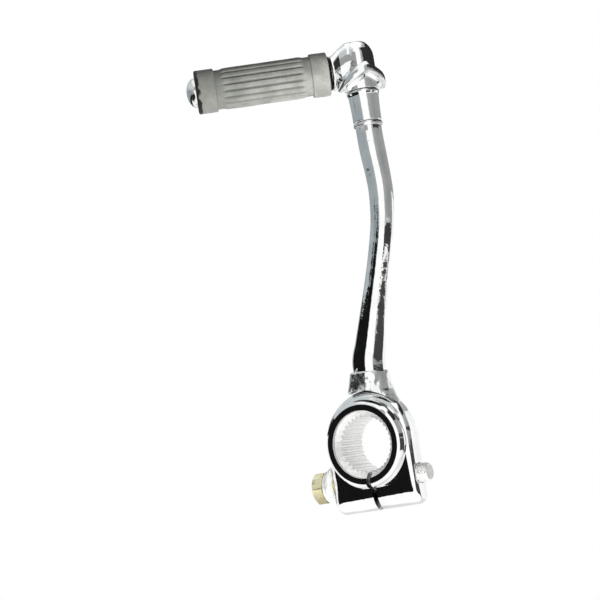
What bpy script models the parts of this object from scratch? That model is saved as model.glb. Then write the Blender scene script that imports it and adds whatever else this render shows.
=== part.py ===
"""Motorcycle gear shift lever: splined pinch clamp, bent arm and folding rubber pedal.

Origin: on the axis of the splined bore, 11.5 mm behind the clamp's front face.  +Z runs up
the arm, -Y is the outer side of the clamp.  Lengths below are in millimetres and turned into
metres by MM.
"""
import math

import bmesh
import bpy
from mathutils import Matrix, Vector

MM = 0.001
FIT = 0.3               # clearance left between pieces that touch

# ---- clamp ----
BORE_ROOT_R = 12.1      # spline grooves
BORE_TIP_R = 11.3       # spline tooth tips
SPLINE_TEETH = 34
BOSS_FRONT_Y = -11.5
BOSS_BACK_Y = 9.5
BOSS_R = 18.5
BOSS_SHOULDER = ((16.3, 0.0), (17.4, 0.55), (18.15, 1.5), (BOSS_R, 2.6))   # radius, depth
HUB_BACK_R = 16.0
MOUTH_R = 14.1          # front mouth: short straight wall, then a cone down to the teeth
MOUTH_WALL = 1.2
MOUTH_CONE = 2.3
BACK_MOUTH_R = 12.9
BACK_MOUTH_DEPTH = 1.0
ARCH_FRONT_Y = -7.4
ARCH_BACK_Y = 3.6
ARCH_HALF_X = 20.0
ARCH_CENTRE_Z = 2.3
ARCH_BOTTOM_Z = -27.8
ARCH_FOOT_RISE = 7.0    # how far the rounded foot climbs to the front and back faces
ARCH_CORNER_R = 2.5
ARCH_FRONT_EDGE = (2.8, 2.8)  # inset and depth of the rounding
ARCH_BACK_EDGE = (3.0, 4.0)
ARCH_LEAN_Z = 6.0       # above this the front face leans back
ARCH_LEAN_R = 60.0
ARCH_STEPS = 17         # outline points on each side of the top
SLIT_HALF = 1.05

# ---- pinch bolt ----
BOLT_Y = -1.9
BOLT_Z = -15.2
BOLT_R = 4.0
BOLT_HOLE_R = 4.3
BOLT_END_X = 24.2
HEX_ACROSS_FLATS = 13.0
HEAD_HEIGHT = 5.3
PLAIN_WASHER = (8.1, 1.6)     # radius, thickness
LOCK_WASHER = (6.9, 2.0)

# ---- arm ----
ARM_Y = -2.5
ROOT_POINT = (3.1, 18.0)      # X, Z of the arm axis inside the clamp outline
ROOT_TOP = (4.3, 33.0)
ROOT_R = 7.0
ARM_UPPER_R = 5.45
HEAD_X = 22.1
# X, Z and radius of the arm above its straight root
ARM_PATH = ((6.6, 41.0, 6.5), (10.8, 55.0, 5.6), (15.2, 69.0, 5.0), (18.5, 79.5, 4.9), (21.3, 90.0, 4.9),
            (22.9, 101.0, 5.1), (23.0, 109.0, 5.2), (22.5, 119.0, ARM_UPPER_R), (HEAD_X, 127.0, ARM_UPPER_R))
# weld bead: height up the root, and how far it stands out on the -X and the +X side
WELD_PROFILE = ((-9.0, 0.0, 0.0), (11.6, 0.0, 0.0), (12.0, 0.5, 0.4), (11.2, 1.2, 0.8), (9.0, 1.9, 1.2),
                (6.5, 2.3, 1.7), (4.0, 2.6, 2.8), (1.5, 2.8, 4.2), (-1.5, 2.8, 5.6), (-9.0, 2.8, 6.0))
ARM_TOP_Z = 132.0
ARM_POCKET_R = 4.3
ARM_POCKET_Z = 127.9

# ---- folding head, all on the vertical line X = HEAD_X, Y = ARM_Y ----
HOUSING_R = 6.0
HOUSING_BORE_R = 4.3
HOUSING_Z = (132.6, 145.8)
HOUSING_FLARE_R = 7.1
CAM_R = 10.2
CAM_BORE_R = 3.8
CAM_RIDGE_Z = 157.2
CAM_DROP = 6.4                # ridge to valley, over a quarter turn
CAM_WING = 4.8
CAM_TOP_CHAMFER = 1.9
CAM_FILLET = 1.5              # under the wing, at the foot
CAM_FOOT_R = 6.9
CAM_FOOT_Z = 146.1
CAM_RIDGE_AZIMUTH = math.radians(50.0)
CAM_LAND = math.radians(4.0)
CAM_STEPS = 72
KNUCKLE_R = 6.9
KNUCKLE_CROWN = ((6.9, 160.3), (6.75, 161.9), (6.3, 163.4), (5.65, 164.7), (4.9, 165.7),
                 (4.1, 166.5), (3.2, 167.0), (1.2, 167.2))   # radius, Z
PIN_R = 2.3
PIN_Z = (128.7, 164.2)
PIN_BORE_R = 2.6
CROSS_PIN_R = 1.0
CROSS_PIN_Z = 157.0
CROSS_PIN_AZIMUTH = math.radians(11.0)
SPRING_Z = (134.3, 144.5)
SPRING_WIRE_R = 0.5
SPRING_MEAN_R = 3.5
SPRING_TURNS = 5.0

# ---- pedal, measured outward from the fold axis ----
PEDAL_AZIMUTH = math.radians(-55.4)
PEDAL_Z = 155.5
FLANGE_R = 7.3
FLANGE_AT = 11.8
PEG_R = 4.0
PEG_END = 66.8
SCREW_HOLE_R = 2.3
SLEEVE = (13.2, 69.2)
SLEEVE_BORE_R = 4.3
BAND_R = 9.2
BODY_R = 8.6
GROOVE_DEPTH = 0.85
RIBS = 18
POINTS_PER_RIB = 5
RECESS_R = 7.2
RECESS_DEPTH = 1.9
SCREW_HEAD_R = 6.2
SCREW_HEAD_HEIGHT = 4.9


def clear_scene():
    for item in list(bpy.data.objects):
        bpy.data.objects.remove(item, do_unlink=True)


def material(name, colour, roughness, metallic):
    made = bpy.data.materials.new(name)
    made.use_nodes = True
    shader = made.node_tree.nodes["Principled BSDF"]
    shader.inputs["Base Color"].default_value = (*colour, 1.0)
    shader.inputs["Roughness"].default_value = roughness
    shader.inputs["Metallic"].default_value = metallic
    return made


def finish(name, mesh, surface, parent=None, angle=35.0):
    """Turn a bmesh given in millimetres into a named, smooth-shaded object."""
    bmesh.ops.recalc_face_normals(mesh, faces=mesh.faces)
    bmesh.ops.scale(mesh, vec=(MM, MM, MM), verts=mesh.verts)
    data = bpy.data.meshes.new(name)
    mesh.to_mesh(data)
    mesh.free()
    item = bpy.data.objects.new(name, data)
    bpy.context.scene.collection.objects.link(item)
    data.shade_smooth()
    data.set_sharp_from_angle(angle=math.radians(angle))
    if surface:
        data.materials.append(surface)
    if parent:
        item.parent = parent
    return item


def tool(name, mesh, parent=None):
    """A solid used only to cut or join; it is never drawn."""
    item = finish(name, mesh, None, parent)
    item.hide_render = True
    item.display_type = "WIRE"
    return item


def combine(item, other, operation):
    step = item.modifiers.new(operation.lower() + " " + other.name, "BOOLEAN")
    step.operation = operation
    step.solver = "EXACT"
    step.object = other


def joint_empty(name, position, parent=None):
    """An empty at a position given in millimetres in the world."""
    item = bpy.data.objects.new(name, None)
    bpy.context.scene.collection.objects.link(item)
    item.location = Vector(position) * MM
    if parent:
        item.location = item.location - parent.location
        item.parent = parent
    return item


def bridge(mesh, rings, loop):
    """Join rings of equal count with quads; loop also joins the last to the first."""
    count = len(rings[0])
    pairs = list(zip(rings, rings[1:]))
    if loop:
        pairs.append((rings[-1], rings[0]))
    for low, high in pairs:
        for i in range(count):
            j = (i + 1) % count
            mesh.faces.new((low[i], low[j], high[j], high[i]))


def loft(sections, loop=False):
    """Solid through closed sections; open ends are capped with one face each."""
    mesh = bmesh.new()
    rings = [[mesh.verts.new(point) for point in section] for section in sections]
    bridge(mesh, rings, loop)
    if not loop:
        mesh.faces.new(rings[0])
        mesh.faces.new(rings[-1])
    return mesh


def circle(radius, height, steps, centre=(0.0, 0.0)):
    points = []
    for i in range(steps):
        turn = 2.0 * math.pi * i / steps
        points.append((centre[0] + radius * math.cos(turn), centre[1] + radius * math.sin(turn), height))
    return points


def lathe(profile, steps, loop=False):
    """Solid of revolution about Z; profile is (radius, height), closed when loop is set."""
    return loft([circle(radius, height, steps) for radius, height in profile], loop)


def along_axis(mesh, direction, origin=(0.0, 0.0, 0.0)):
    """Lay a shape built about Z along a direction, then move it to an origin."""
    turn = Vector((0.0, 0.0, 1.0)).rotation_difference(Vector(direction)).to_matrix().to_4x4()
    mesh.transform(Matrix.Translation(Vector(origin)) @ turn)
    return mesh


def prism(outline, low, high, place):
    """Extrude a closed outline; place maps (a, b, depth) to a point in space."""
    return loft([[place(a, b, depth) for a, b in outline] for depth in (low, high)])


def azimuth_direction(azimuth):
    """Horizontal direction measured from -Y towards +X."""
    return Vector((math.sin(azimuth), -math.cos(azimuth), 0.0))


# ---------------------------------------------------------------- clamp

def arch_ring(depth, inset, rise, lean):
    """Closed outline of the arch at one depth: rounded foot corners, half-round top."""
    half = ARCH_HALF_X - inset
    bottom = ARCH_BOTTOM_Z + rise
    corner = ARCH_CORNER_R
    right = []
    for i in range(4):
        turn = math.pi / 2.0 * i / 3
        x = half - corner * (1.0 - math.sin(turn))
        right.append((x, bottom + corner * (1.0 - math.cos(turn))))
    for i in range(ARCH_STEPS):
        turn = math.pi / 2.0 * i / (ARCH_STEPS - 0.5)
        right.append((half * math.cos(turn), ARCH_CENTRE_Z + half * math.sin(turn)))
    ring = []
    for x, z in right + [(-x, z) for x, z in reversed(right)]:
        back = max(0.0, z - ARCH_LEAN_Z) ** 2 / (2.0 * ARCH_LEAN_R)
        ring.append((x, depth + back * lean, z))
    return ring


def rounding(distance, edge):
    """Inset of an elliptical edge rounding at a distance in from the face."""
    inset, depth = edge
    left = max(0.0, 1.0 - distance / depth)
    return inset * (1.0 - math.sqrt(1.0 - left * left))


def arch_stations():
    """Depth, inset, foot rise and lean share of each outline from front to back."""
    middle = (ARCH_FRONT_Y + ARCH_BACK_Y) / 2.0
    reach = (ARCH_BACK_Y - ARCH_FRONT_Y) / 2.0
    stations = []
    for degrees in (0.0, 14.0, 27.0, 42.0, 60.0, 90.0, 108.0, 125.0, 142.0, 160.0, 180.0):
        turn = math.radians(degrees)
        depth = middle - reach * math.cos(turn)
        inset = rounding(depth - ARCH_FRONT_Y, ARCH_FRONT_EDGE) + rounding(ARCH_BACK_Y - depth, ARCH_BACK_EDGE)
        lean = min(max((middle + 1.0 - depth) / 4.5, 0.0), 1.0)
        stations.append((depth, inset, ARCH_FOOT_RISE * (1.0 - math.sin(turn)), lean))
    return stations


def arch_solid(stations):
    """Loft through the outlines, closed by level strips so that every face stays flat."""
    mesh = bmesh.new()
    rings = [[mesh.verts.new(point) for point in arch_ring(*station)] for station in stations]
    bridge(mesh, rings, False)
    for ring in (rings[0], rings[-1]):
        count = len(ring)
        for i in range(count // 2 - 1):
            mesh.faces.new((ring[i], ring[i + 1], ring[count - 2 - i], ring[count - 1 - i]))
    bmesh.ops.triangulate(mesh, faces=mesh.faces)
    return mesh


def arch_clearance():
    """Cutter for whatever sits on the arch: its outline in front, its rounded edge behind."""
    middle = (ARCH_FRONT_Y + ARCH_BACK_Y) / 2.0
    stations = [(-40.0, -FIT, -FIT, 0.0), (middle, -FIT, -FIT, 0.0)]
    for depth, inset, rise, lean in arch_stations():
        if depth > middle + 0.5:
            stations.append((depth + FIT, inset - FIT, rise - FIT, 0.0))
    return arch_solid(stations)


def spline_outline():
    points = []
    pitch = 2.0 * math.pi / SPLINE_TEETH
    for tooth in range(SPLINE_TEETH):
        for share, radius in ((0.05, BORE_TIP_R), (0.25, BORE_TIP_R), (0.5, BORE_ROOT_R), (0.8, BORE_ROOT_R)):
            turn = (tooth + share) * pitch
            points.append((radius * math.cos(turn), radius * math.sin(turn)))
    return points


def lead_cone(face_y, mouth_r, cone, wall, outward):
    """Cutter that opens a bore mouth; outward is -1 at the front and +1 at the back."""
    slope = (mouth_r - BORE_TIP_R) / cone
    profile = [(BORE_TIP_R - slope, -1.0), (mouth_r, cone), (mouth_r, cone + wall + 1.0)]
    return along_axis(lathe(profile, 56), (0.0, outward, 0.0), (0.0, face_y - outward * (cone + wall), 0.0))


def build_clamp(surface):
    body = finish("clamp_boss", arch_solid(arch_stations()), surface)
    length = BOSS_BACK_Y - BOSS_FRONT_Y
    step = ARCH_BACK_Y - BOSS_FRONT_Y - 0.5
    boss = lathe([*BOSS_SHOULDER, (BOSS_R, step - 1.0), (HUB_BACK_R, step), (HUB_BACK_R, length - 0.8),
                  (HUB_BACK_R - 0.8, length)], 72)
    along_axis(boss, (0.0, 1.0, 0.0), (0.0, BOSS_FRONT_Y, 0.0))
    combine(body, tool("tool_boss", boss), "UNION")

    bore = prism(spline_outline(), BOSS_FRONT_Y - 5.0, BOSS_BACK_Y + 5.0, lambda a, b, d: (a, d, b))
    combine(body, tool("tool_spline_bore", bore), "DIFFERENCE")
    front = lead_cone(BOSS_FRONT_Y, MOUTH_R, MOUTH_CONE, MOUTH_WALL, -1.0)
    combine(body, tool("tool_front_mouth", front), "DIFFERENCE")
    back = lead_cone(BOSS_BACK_Y, BACK_MOUTH_R, BACK_MOUTH_DEPTH, 0.0, 1.0)
    combine(body, tool("tool_back_mouth", back), "DIFFERENCE")

    hole = along_axis(lathe([(BOLT_HOLE_R, -30.0), (BOLT_HOLE_R, 30.0)], 32), (1.0, 0.0, 0.0),
                      (0.0, BOLT_Y, BOLT_Z))
    combine(body, tool("tool_bolt_hole", hole), "DIFFERENCE")
    slit = prism([(-SLIT_HALF, -40.0), (SLIT_HALF, -40.0), (SLIT_HALF, -4.0), (-SLIT_HALF, -4.0)],
                 -30.0, 30.0, lambda a, b, d: (a, d, b))
    combine(body, tool("tool_slit", slit), "DIFFERENCE")
    return body


def build_pinch_bolt(surface, washer_surface):
    seat = -ARCH_HALF_X - FIT
    plain_r, plain_t = PLAIN_WASHER
    lock_r, lock_t = LOCK_WASHER
    lock_seat = seat - plain_t - FIT
    head_seat = lock_seat - lock_t - FIT
    shank_length = BOLT_END_X - head_seat

    bolt = finish("pinch_bolt", hex_head(HEAD_HEIGHT), surface)
    shank = tool("tool_bolt_shank", lathe([(BOLT_R - 0.9, -0.5), (BOLT_R, 0.0), (BOLT_R, shank_length - 1.0),
                                           (BOLT_R - 0.9, shank_length)], 28))
    combine(bolt, shank, "UNION")
    hole_r = BOLT_R + FIT
    plain = finish("plain_washer", ring_plate(hole_r, plain_r, plain_t, 0.25), washer_surface)
    lock = finish("lock_washer", split_ring(hole_r, lock_r, lock_t), washer_surface)
    starts = ((bolt, head_seat), (shank, head_seat), (plain, seat - plain_t), (lock, lock_seat - lock_t))
    for part, start in starts:
        part.location = Vector((start, BOLT_Y, BOLT_Z)) * MM
        part.rotation_euler = (0.0, math.pi / 2.0, 0.0)


def hex_head(height):
    """Hexagon below Z = 0 whose outer face is a circle, as turned off in manufacture."""
    steps = 24
    apothem = HEX_ACROSS_FLATS / 2.0
    sections = []
    for level, drop in ((-height, True), (-height + 0.35, False), (0.0, False)):
        ring = []
        for i in range(steps):
            turn = 2.0 * math.pi * i / steps
            inside = (turn + math.pi / 6.0) % (math.pi / 3.0) - math.pi / 6.0
            reach = apothem / math.cos(inside)
            height_here = level
            if drop:
                reach = apothem - 0.35
            elif level < 0.0:
                height_here = level + 0.9 * (reach - apothem)
            ring.append((reach * math.cos(turn), reach * math.sin(turn), height_here))
        sections.append(ring)
    return loft(sections)


def ring_plate(inner, outer, thickness, chamfer):
    profile = [(inner, 0.0), (outer - chamfer, 0.0), (outer, chamfer), (outer, thickness - chamfer),
               (outer - chamfer, thickness), (inner, thickness)]
    return lathe(profile, 36, loop=True)


def split_ring(inner, outer, thickness):
    """Spring lock washer: one nearly full turn with a slanted split."""
    sections = []
    steps = 44
    for i in range(steps + 1):
        turn = math.radians(8.0) + math.radians(344.0) * i / steps
        across = Vector((math.cos(turn), math.sin(turn), 0.0))
        skew = Vector((-math.sin(turn), math.cos(turn), 0.0)) * 0.5
        sections.append([across * inner - skew, across * outer - skew,
                         across * outer + skew + Vector((0, 0, thickness)),
                         across * inner + skew + Vector((0, 0, thickness))])
    return loft(sections)


# ---------------------------------------------------------------- arm

def arm_stations():
    """Axis points (X, Z) and radius up the arm: straight root, smooth bend, straight top."""
    stations = []
    for share in (0.0, 0.5, 1.0):
        stations.append((Vector(ROOT_POINT).lerp(Vector(ROOT_TOP), share), ROOT_R))
    knots = [Vector((*ROOT_POINT, ROOT_R)), Vector((*ROOT_TOP, ROOT_R))]
    knots += [Vector(knot) for knot in ARM_PATH]
    knots.append(Vector((HEAD_X, ARM_TOP_Z + 4.0, ARM_UPPER_R)))
    for i in range(1, len(knots) - 2):
        before, start, end, after = knots[i - 1:i + 3]
        for share in (0.5, 1.0):
            pull_in = (end - before) * 0.5
            pull_out = (after - start) * 0.5
            blend = share * share * (3.0 - 2.0 * share)
            point = start.lerp(end, blend)
            point += pull_in * (share * (1.0 - share) ** 2) - pull_out * (share ** 2 * (1.0 - share))
            stations.append((Vector((point.x, point.y)), point.z))
    for height, radius in ((ARM_TOP_Z - 0.5, ARM_UPPER_R), (ARM_TOP_Z, ARM_UPPER_R - 0.5)):
        stations.append((Vector((HEAD_X, height)), radius))
    return stations


def build_arm(surface):
    stations = arm_stations()
    sections = []
    steps = 28
    for i, (point, radius) in enumerate(stations):
        before = stations[max(i - 1, 0)][0]
        after = stations[min(i + 1, len(stations) - 1)][0]
        way = (after - before).normalized()
        if i <= 2:
            way = (Vector(ROOT_TOP) - Vector(ROOT_POINT)).normalized()
        if i >= len(stations) - 3:
            way = Vector((0.0, 1.0))
        across = Vector((way.y, -way.x))
        ring = []
        for k in range(steps):
            turn = 2.0 * math.pi * k / steps
            side = across * radius * math.cos(turn)
            ring.append((point.x + side.x, ARM_Y + radius * math.sin(turn), point.y + side.y))
        sections.append(ring)
    arm = finish("arm_bar", loft(sections), surface)
    combine(arm, tool("tool_arch_clearance", arch_clearance()), "DIFFERENCE")
    pocket = lathe([(ARM_POCKET_R, ARM_POCKET_Z), (ARM_POCKET_R, ARM_TOP_Z + 5.0)], 32)
    pocket.transform(Matrix.Translation((HEAD_X, ARM_Y, 0.0)))
    combine(arm, tool("tool_arm_pocket", pocket), "DIFFERENCE")
    return arm


def build_root_weld(surface):
    """Weld bead round the root of the arm, spreading out over the arch on the bent side."""
    way = Vector(ROOT_TOP) - Vector(ROOT_POINT)
    steps = 48
    inner = ROOT_R + FIT
    sections = []
    for height, left, right in WELD_PROFILE:
        ring = []
        for k in range(steps):
            turn = 2.0 * math.pi * k / steps
            reach = left + (right - left) * (1.0 + math.cos(turn)) / 2.0
            ripple = 1.0 + 0.07 * math.sin(8.0 * turn) if reach > 0.3 else 1.0
            radius = inner + reach * ripple * (1.0 - 0.5 * math.sin(turn) ** 2)
            ring.append((radius * math.cos(turn), radius * math.sin(turn), height))
        sections.append(ring)
    bead = loft(sections, loop=True)
    along_axis(bead, (way.x, 0.0, way.y), (ROOT_POINT[0], ARM_Y, ROOT_POINT[1]))
    bmesh.ops.triangulate(bead, faces=bead.faces)
    weld = finish("root_weld", bead, surface)
    combine(weld, bpy.data.objects["tool_arch_clearance"], "DIFFERENCE")
    hub = lathe([(HUB_BACK_R + FIT, 0.0), (HUB_BACK_R + FIT, 10.0)], 72)
    along_axis(hub, (0.0, 1.0, 0.0), (0.0, ARCH_BACK_Y - 1.0, 0.0))
    combine(weld, tool("tool_hub_clearance", hub), "DIFFERENCE")
    return weld


# ---------------------------------------------------------------- folding head

def cam_height(azimuth, ridge_land, valley_land):
    """Height of the double-ramp cam face: two ridges and two valleys per turn."""
    apart = abs((azimuth - CAM_RIDGE_AZIMUTH + math.pi / 2.0) % math.pi - math.pi / 2.0)
    apart = min(max(apart, ridge_land), math.pi / 2.0 - valley_land)
    return CAM_RIDGE_Z - CAM_DROP * apart / (math.pi / 2.0)


def cam_solid(profile_at):
    """Ring of sections about the fold axis; profile_at gives (radius, height) at an azimuth."""
    sections = []
    for i in range(CAM_STEPS):
        azimuth = CAM_RIDGE_AZIMUTH + 2.0 * math.pi * i / CAM_STEPS
        out = azimuth_direction(azimuth)
        sections.append([(out.x * radius, out.y * radius, height) for radius, height in profile_at(azimuth)])
    return loft(sections, loop=True)


def collar_profile(azimuth):
    top = cam_height(azimuth, CAM_LAND, 0.0)
    low = max(top - CAM_WING, CAM_FOOT_Z + 0.3)
    fillet = min(CAM_FILLET, low - CAM_FOOT_Z - 0.15)
    wing = [(CAM_R - CAM_TOP_CHAMFER, top), (CAM_R, top - CAM_TOP_CHAMFER), (CAM_R, low + 0.4), (CAM_R - 0.4, low)]
    foot = [(CAM_FOOT_R + fillet, low), (CAM_FOOT_R + 0.3 * fillet, low - 0.3 * fillet),
            (CAM_FOOT_R, low - fillet), (CAM_FOOT_R, CAM_FOOT_Z)]
    return [(CAM_BORE_R, top), *wing, *foot, (CAM_BORE_R, CAM_FOOT_Z)]


def cam_clearance():
    """Cutter for the underside of the knuckle: room for the collar, and the blind pin bore."""
    mesh = bmesh.new()
    floor_z = 120.0
    rings = {"bore_top": [], "bore_foot": [], "rim": [], "floor": []}
    for i in range(CAM_STEPS):
        azimuth = CAM_RIDGE_AZIMUTH + 2.0 * math.pi * i / CAM_STEPS
        out = azimuth_direction(azimuth)
        height = cam_height(azimuth, 0.0, CAM_LAND) + FIT
        reach = CAM_R + FIT
        for ring, radius, level in (("bore_top", PIN_BORE_R, PIN_Z[1] + FIT), ("bore_foot", PIN_BORE_R, height),
                                    ("rim", reach, height), ("floor", reach, floor_z)):
            rings[ring].append(mesh.verts.new((out.x * radius, out.y * radius, level)))
    bridge(mesh, [rings["bore_top"], rings["bore_foot"], rings["rim"], rings["floor"]], False)
    mesh.faces.new(rings["bore_top"])
    mesh.faces.new(rings["floor"])
    bmesh.ops.triangulate(mesh, faces=mesh.faces)
    return mesh


def build_lower_head(axis, chrome, steel, bronze, spring_steel):
    """Pieces that stay with the arm: housing, weld ring, collar, bush and top washer."""
    low, high = HOUSING_Z
    profile = [(HOUSING_BORE_R, low), (HOUSING_R - 0.4, low), (HOUSING_R, low + 0.4),
               (HOUSING_R, high - 7.0), (HOUSING_R + 0.25, high - 4.6), (HOUSING_FLARE_R, high - 1.6),
               (HOUSING_FLARE_R, high - 0.4), (HOUSING_FLARE_R - 0.4, high), (HOUSING_BORE_R, high)]
    finish("spring_housing", lathe(profile, 36, loop=True), chrome, axis)

    inner = ARM_UPPER_R + FIT
    middle = low - FIT - 0.8
    bead = [(inner + 0.2 + 0.2 * math.cos(math.pi / 4.0 * i), middle + 0.8 * math.sin(math.pi / 4.0 * i))
            for i in range(8)]
    finish("upper_weld_ring", lathe(bead, 36, loop=True), chrome, axis)
    finish("cam_collar", cam_solid(collar_profile), chrome, axis)

    bush = [(PIN_BORE_R, 146.4), (CAM_BORE_R - FIT, 146.4), (CAM_BORE_R - FIT, 150.4), (PIN_BORE_R, 150.4)]
    finish("pivot_bush", lathe(bush, 32, loop=True), bronze, axis)
    washer = [(PIN_BORE_R, 144.8), (4.0, 144.8), (4.0, 145.8), (PIN_BORE_R, 145.8)]
    finish("spring_top_washer", lathe(washer, 32, loop=True), steel, axis)

    finish("detent_spring", coil(), spring_steel, axis, angle=60.0)


def coil():
    """Round-wire coil with its end turns closed flat."""
    low = SPRING_Z[0] + SPRING_WIRE_R
    high = SPRING_Z[1] - SPRING_WIRE_R
    per_turn = 20
    total = int(SPRING_TURNS * per_turn)
    sides = 7
    wire = 2.0 * SPRING_WIRE_R * 1.02
    sections = []
    for i in range(total + 1):
        turns = i / per_turn
        if turns < 0.9:
            height = low + wire * turns * 0.5
        elif turns > SPRING_TURNS - 0.9:
            height = high - wire * (SPRING_TURNS - turns) * 0.5
        else:
            share = (turns - 0.9) / (SPRING_TURNS - 1.8)
            height = low + wire * 0.45 + (high - low - wire * 0.9) * share
        turn = 2.0 * math.pi * turns
        centre = Vector((SPRING_MEAN_R * math.cos(turn), SPRING_MEAN_R * math.sin(turn), height))
        out = Vector((math.cos(turn), math.sin(turn), 0.0))
        ring = []
        for k in range(sides):
            around = 2.0 * math.pi * k / sides
            ring.append(centre + out * SPRING_WIRE_R * math.cos(around)
                        + Vector((0.0, 0.0, SPRING_WIRE_R * math.sin(around))))
        sections.append(ring)
    return loft(sections)


def build_carrier(slide, steel):
    """Seat under the spring: rises with the pin but does not turn with it."""
    seat = [(PIN_BORE_R, 133.0), (4.0, 133.0), (4.0, 134.0), (PIN_BORE_R, 134.0)]
    finish("spring_seat", lathe(seat, 32, loop=True), steel, slide)


def knuckle_neck():
    """Neck between the knuckle and the pedal flange, given as sections along +X."""
    sections = []
    stations = ((1.7, 159.2, 6.5, 8.5), (4.5, 159.0, 5.9, 8.5), (8.0, 157.4, 4.9, 7.8),
                (FLANGE_AT - 0.9, PEDAL_Z, FLANGE_R, FLANGE_R), (FLANGE_AT - 0.3, PEDAL_Z, FLANGE_R, FLANGE_R),
                (FLANGE_AT, PEDAL_Z, FLANGE_R - 0.3, FLANGE_R - 0.3))
    steps = 40
    for out, height, half_width, half_height in stations:
        ring = []
        for k in range(steps):
            turn = 2.0 * math.pi * k / steps
            ring.append((out, half_width * math.cos(turn), height + half_height * math.sin(turn)))
        sections.append(ring)
    return loft(sections)


def turn_to_pedal(mesh):
    """Swing a shape built along +X round to the pedal direction."""
    way = azimuth_direction(PEDAL_AZIMUTH)
    mesh.transform(Matrix.Rotation(math.atan2(way.y, way.x), 4, "Z"))
    return mesh


def pedal_lathe(profile, steps, loop=False):
    """Solid of revolution about the pedal line; profile is (radius, distance out)."""
    mesh = along_axis(lathe(profile, steps, loop), (1.0, 0.0, 0.0), (0.0, 0.0, PEDAL_Z))
    return turn_to_pedal(mesh)


def build_pedal(axis, chrome, steel, rubber, black):
    dome = [(KNUCKLE_R, 149.0), *KNUCKLE_CROWN]
    forging = finish("pedal_knuckle", lathe(dome, 56), chrome, axis)
    combine(forging, tool("tool_neck", turn_to_pedal(knuckle_neck()), axis), "UNION")
    peg = pedal_lathe([(PEG_R, 3.4), (PEG_R, PEG_END - 0.6), (PEG_R - 0.6, PEG_END), (SCREW_HOLE_R, PEG_END),
                       (SCREW_HOLE_R, PEG_END - 8.0)], 32)
    combine(forging, tool("tool_peg", peg, axis), "UNION")
    combine(forging, tool("tool_cam_clearance", cam_clearance(), axis), "DIFFERENCE")

    pin = [(PIN_R - 0.5, PIN_Z[0]), (PIN_R, PIN_Z[0] + 0.5), (PIN_R, PIN_Z[1] - 0.5), (PIN_R - 0.5, PIN_Z[1])]
    pivot = finish("pivot_pin", lathe(pin, 32), steel, axis)
    way = azimuth_direction(CROSS_PIN_AZIMUTH)
    cross_hole = along_axis(lathe([(CROSS_PIN_R + FIT, -12.0), (CROSS_PIN_R + FIT, 12.0)], 20), way,
                            (0.0, 0.0, CROSS_PIN_Z))
    cutter = tool("tool_cross_hole", cross_hole, axis)
    combine(forging, cutter, "DIFFERENCE")
    combine(pivot, cutter, "DIFFERENCE")
    half = KNUCKLE_R + 0.15
    cross = [(CROSS_PIN_R - 0.3, -half), (CROSS_PIN_R, -half + 0.3), (CROSS_PIN_R, half - 0.3),
             (CROSS_PIN_R - 0.3, half)]
    finish("cross_pin", along_axis(lathe(cross, 20), way, (0.0, 0.0, CROSS_PIN_Z)), steel, axis)

    nut = bmesh.new()
    outer = []
    inner = []
    for height in (129.7, 132.7):
        outer.append([nut.verts.new(point) for point in nut_points(3.75, height)])
        inner.append([nut.verts.new(point) for point in nut_points(PIN_BORE_R, height, True)])
    bridge(nut, [outer[0], outer[1], inner[1], inner[0]], True)
    finish("pin_nut", nut, steel, axis)

    finish("inner_ring", pedal_lathe([(SLEEVE_BORE_R, FLANGE_AT + FIT), (7.1, FLANGE_AT + FIT),
                                      (7.1, SLEEVE[0] - FIT), (SLEEVE_BORE_R, SLEEVE[0] - FIT)], 40, True),
           black, axis)
    finish("rubber_sleeve", sleeve_mesh(), rubber, axis, angle=50.0)
    seat = PEG_END + FIT
    rim = RECESS_R - FIT
    washer = [(SCREW_HOLE_R, seat), (rim, seat), (rim, seat + 0.9), (SCREW_HOLE_R, seat + 0.9)]
    finish("end_washer", pedal_lathe(washer, 40, True), black, axis)
    head = seat + 0.9 + FIT
    screw = [(2.0, PEG_END - 6.0), (2.0, head), (SCREW_HEAD_R, head)]
    for i in range(7):
        turn = math.radians(13.5 * i)
        screw.append((SCREW_HEAD_R * math.cos(turn), head + 1.2 + (SCREW_HEAD_HEIGHT - 1.2) * math.sin(turn)))
    finish("end_screw", pedal_lathe(screw, 32), steel, axis)


def nut_points(radius, height, round_hole=False):
    """Twenty-four points round a hexagon, or round its hole."""
    points = []
    for i in range(24):
        turn = 2.0 * math.pi * i / 24
        reach = radius
        if not round_hole:
            inside = (turn + math.pi / 6.0) % (math.pi / 3.0) - math.pi / 6.0
            reach = radius * math.cos(math.pi / 6.0) / math.cos(inside)
        points.append((reach * math.cos(turn), reach * math.sin(turn), height))
    return points


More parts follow.
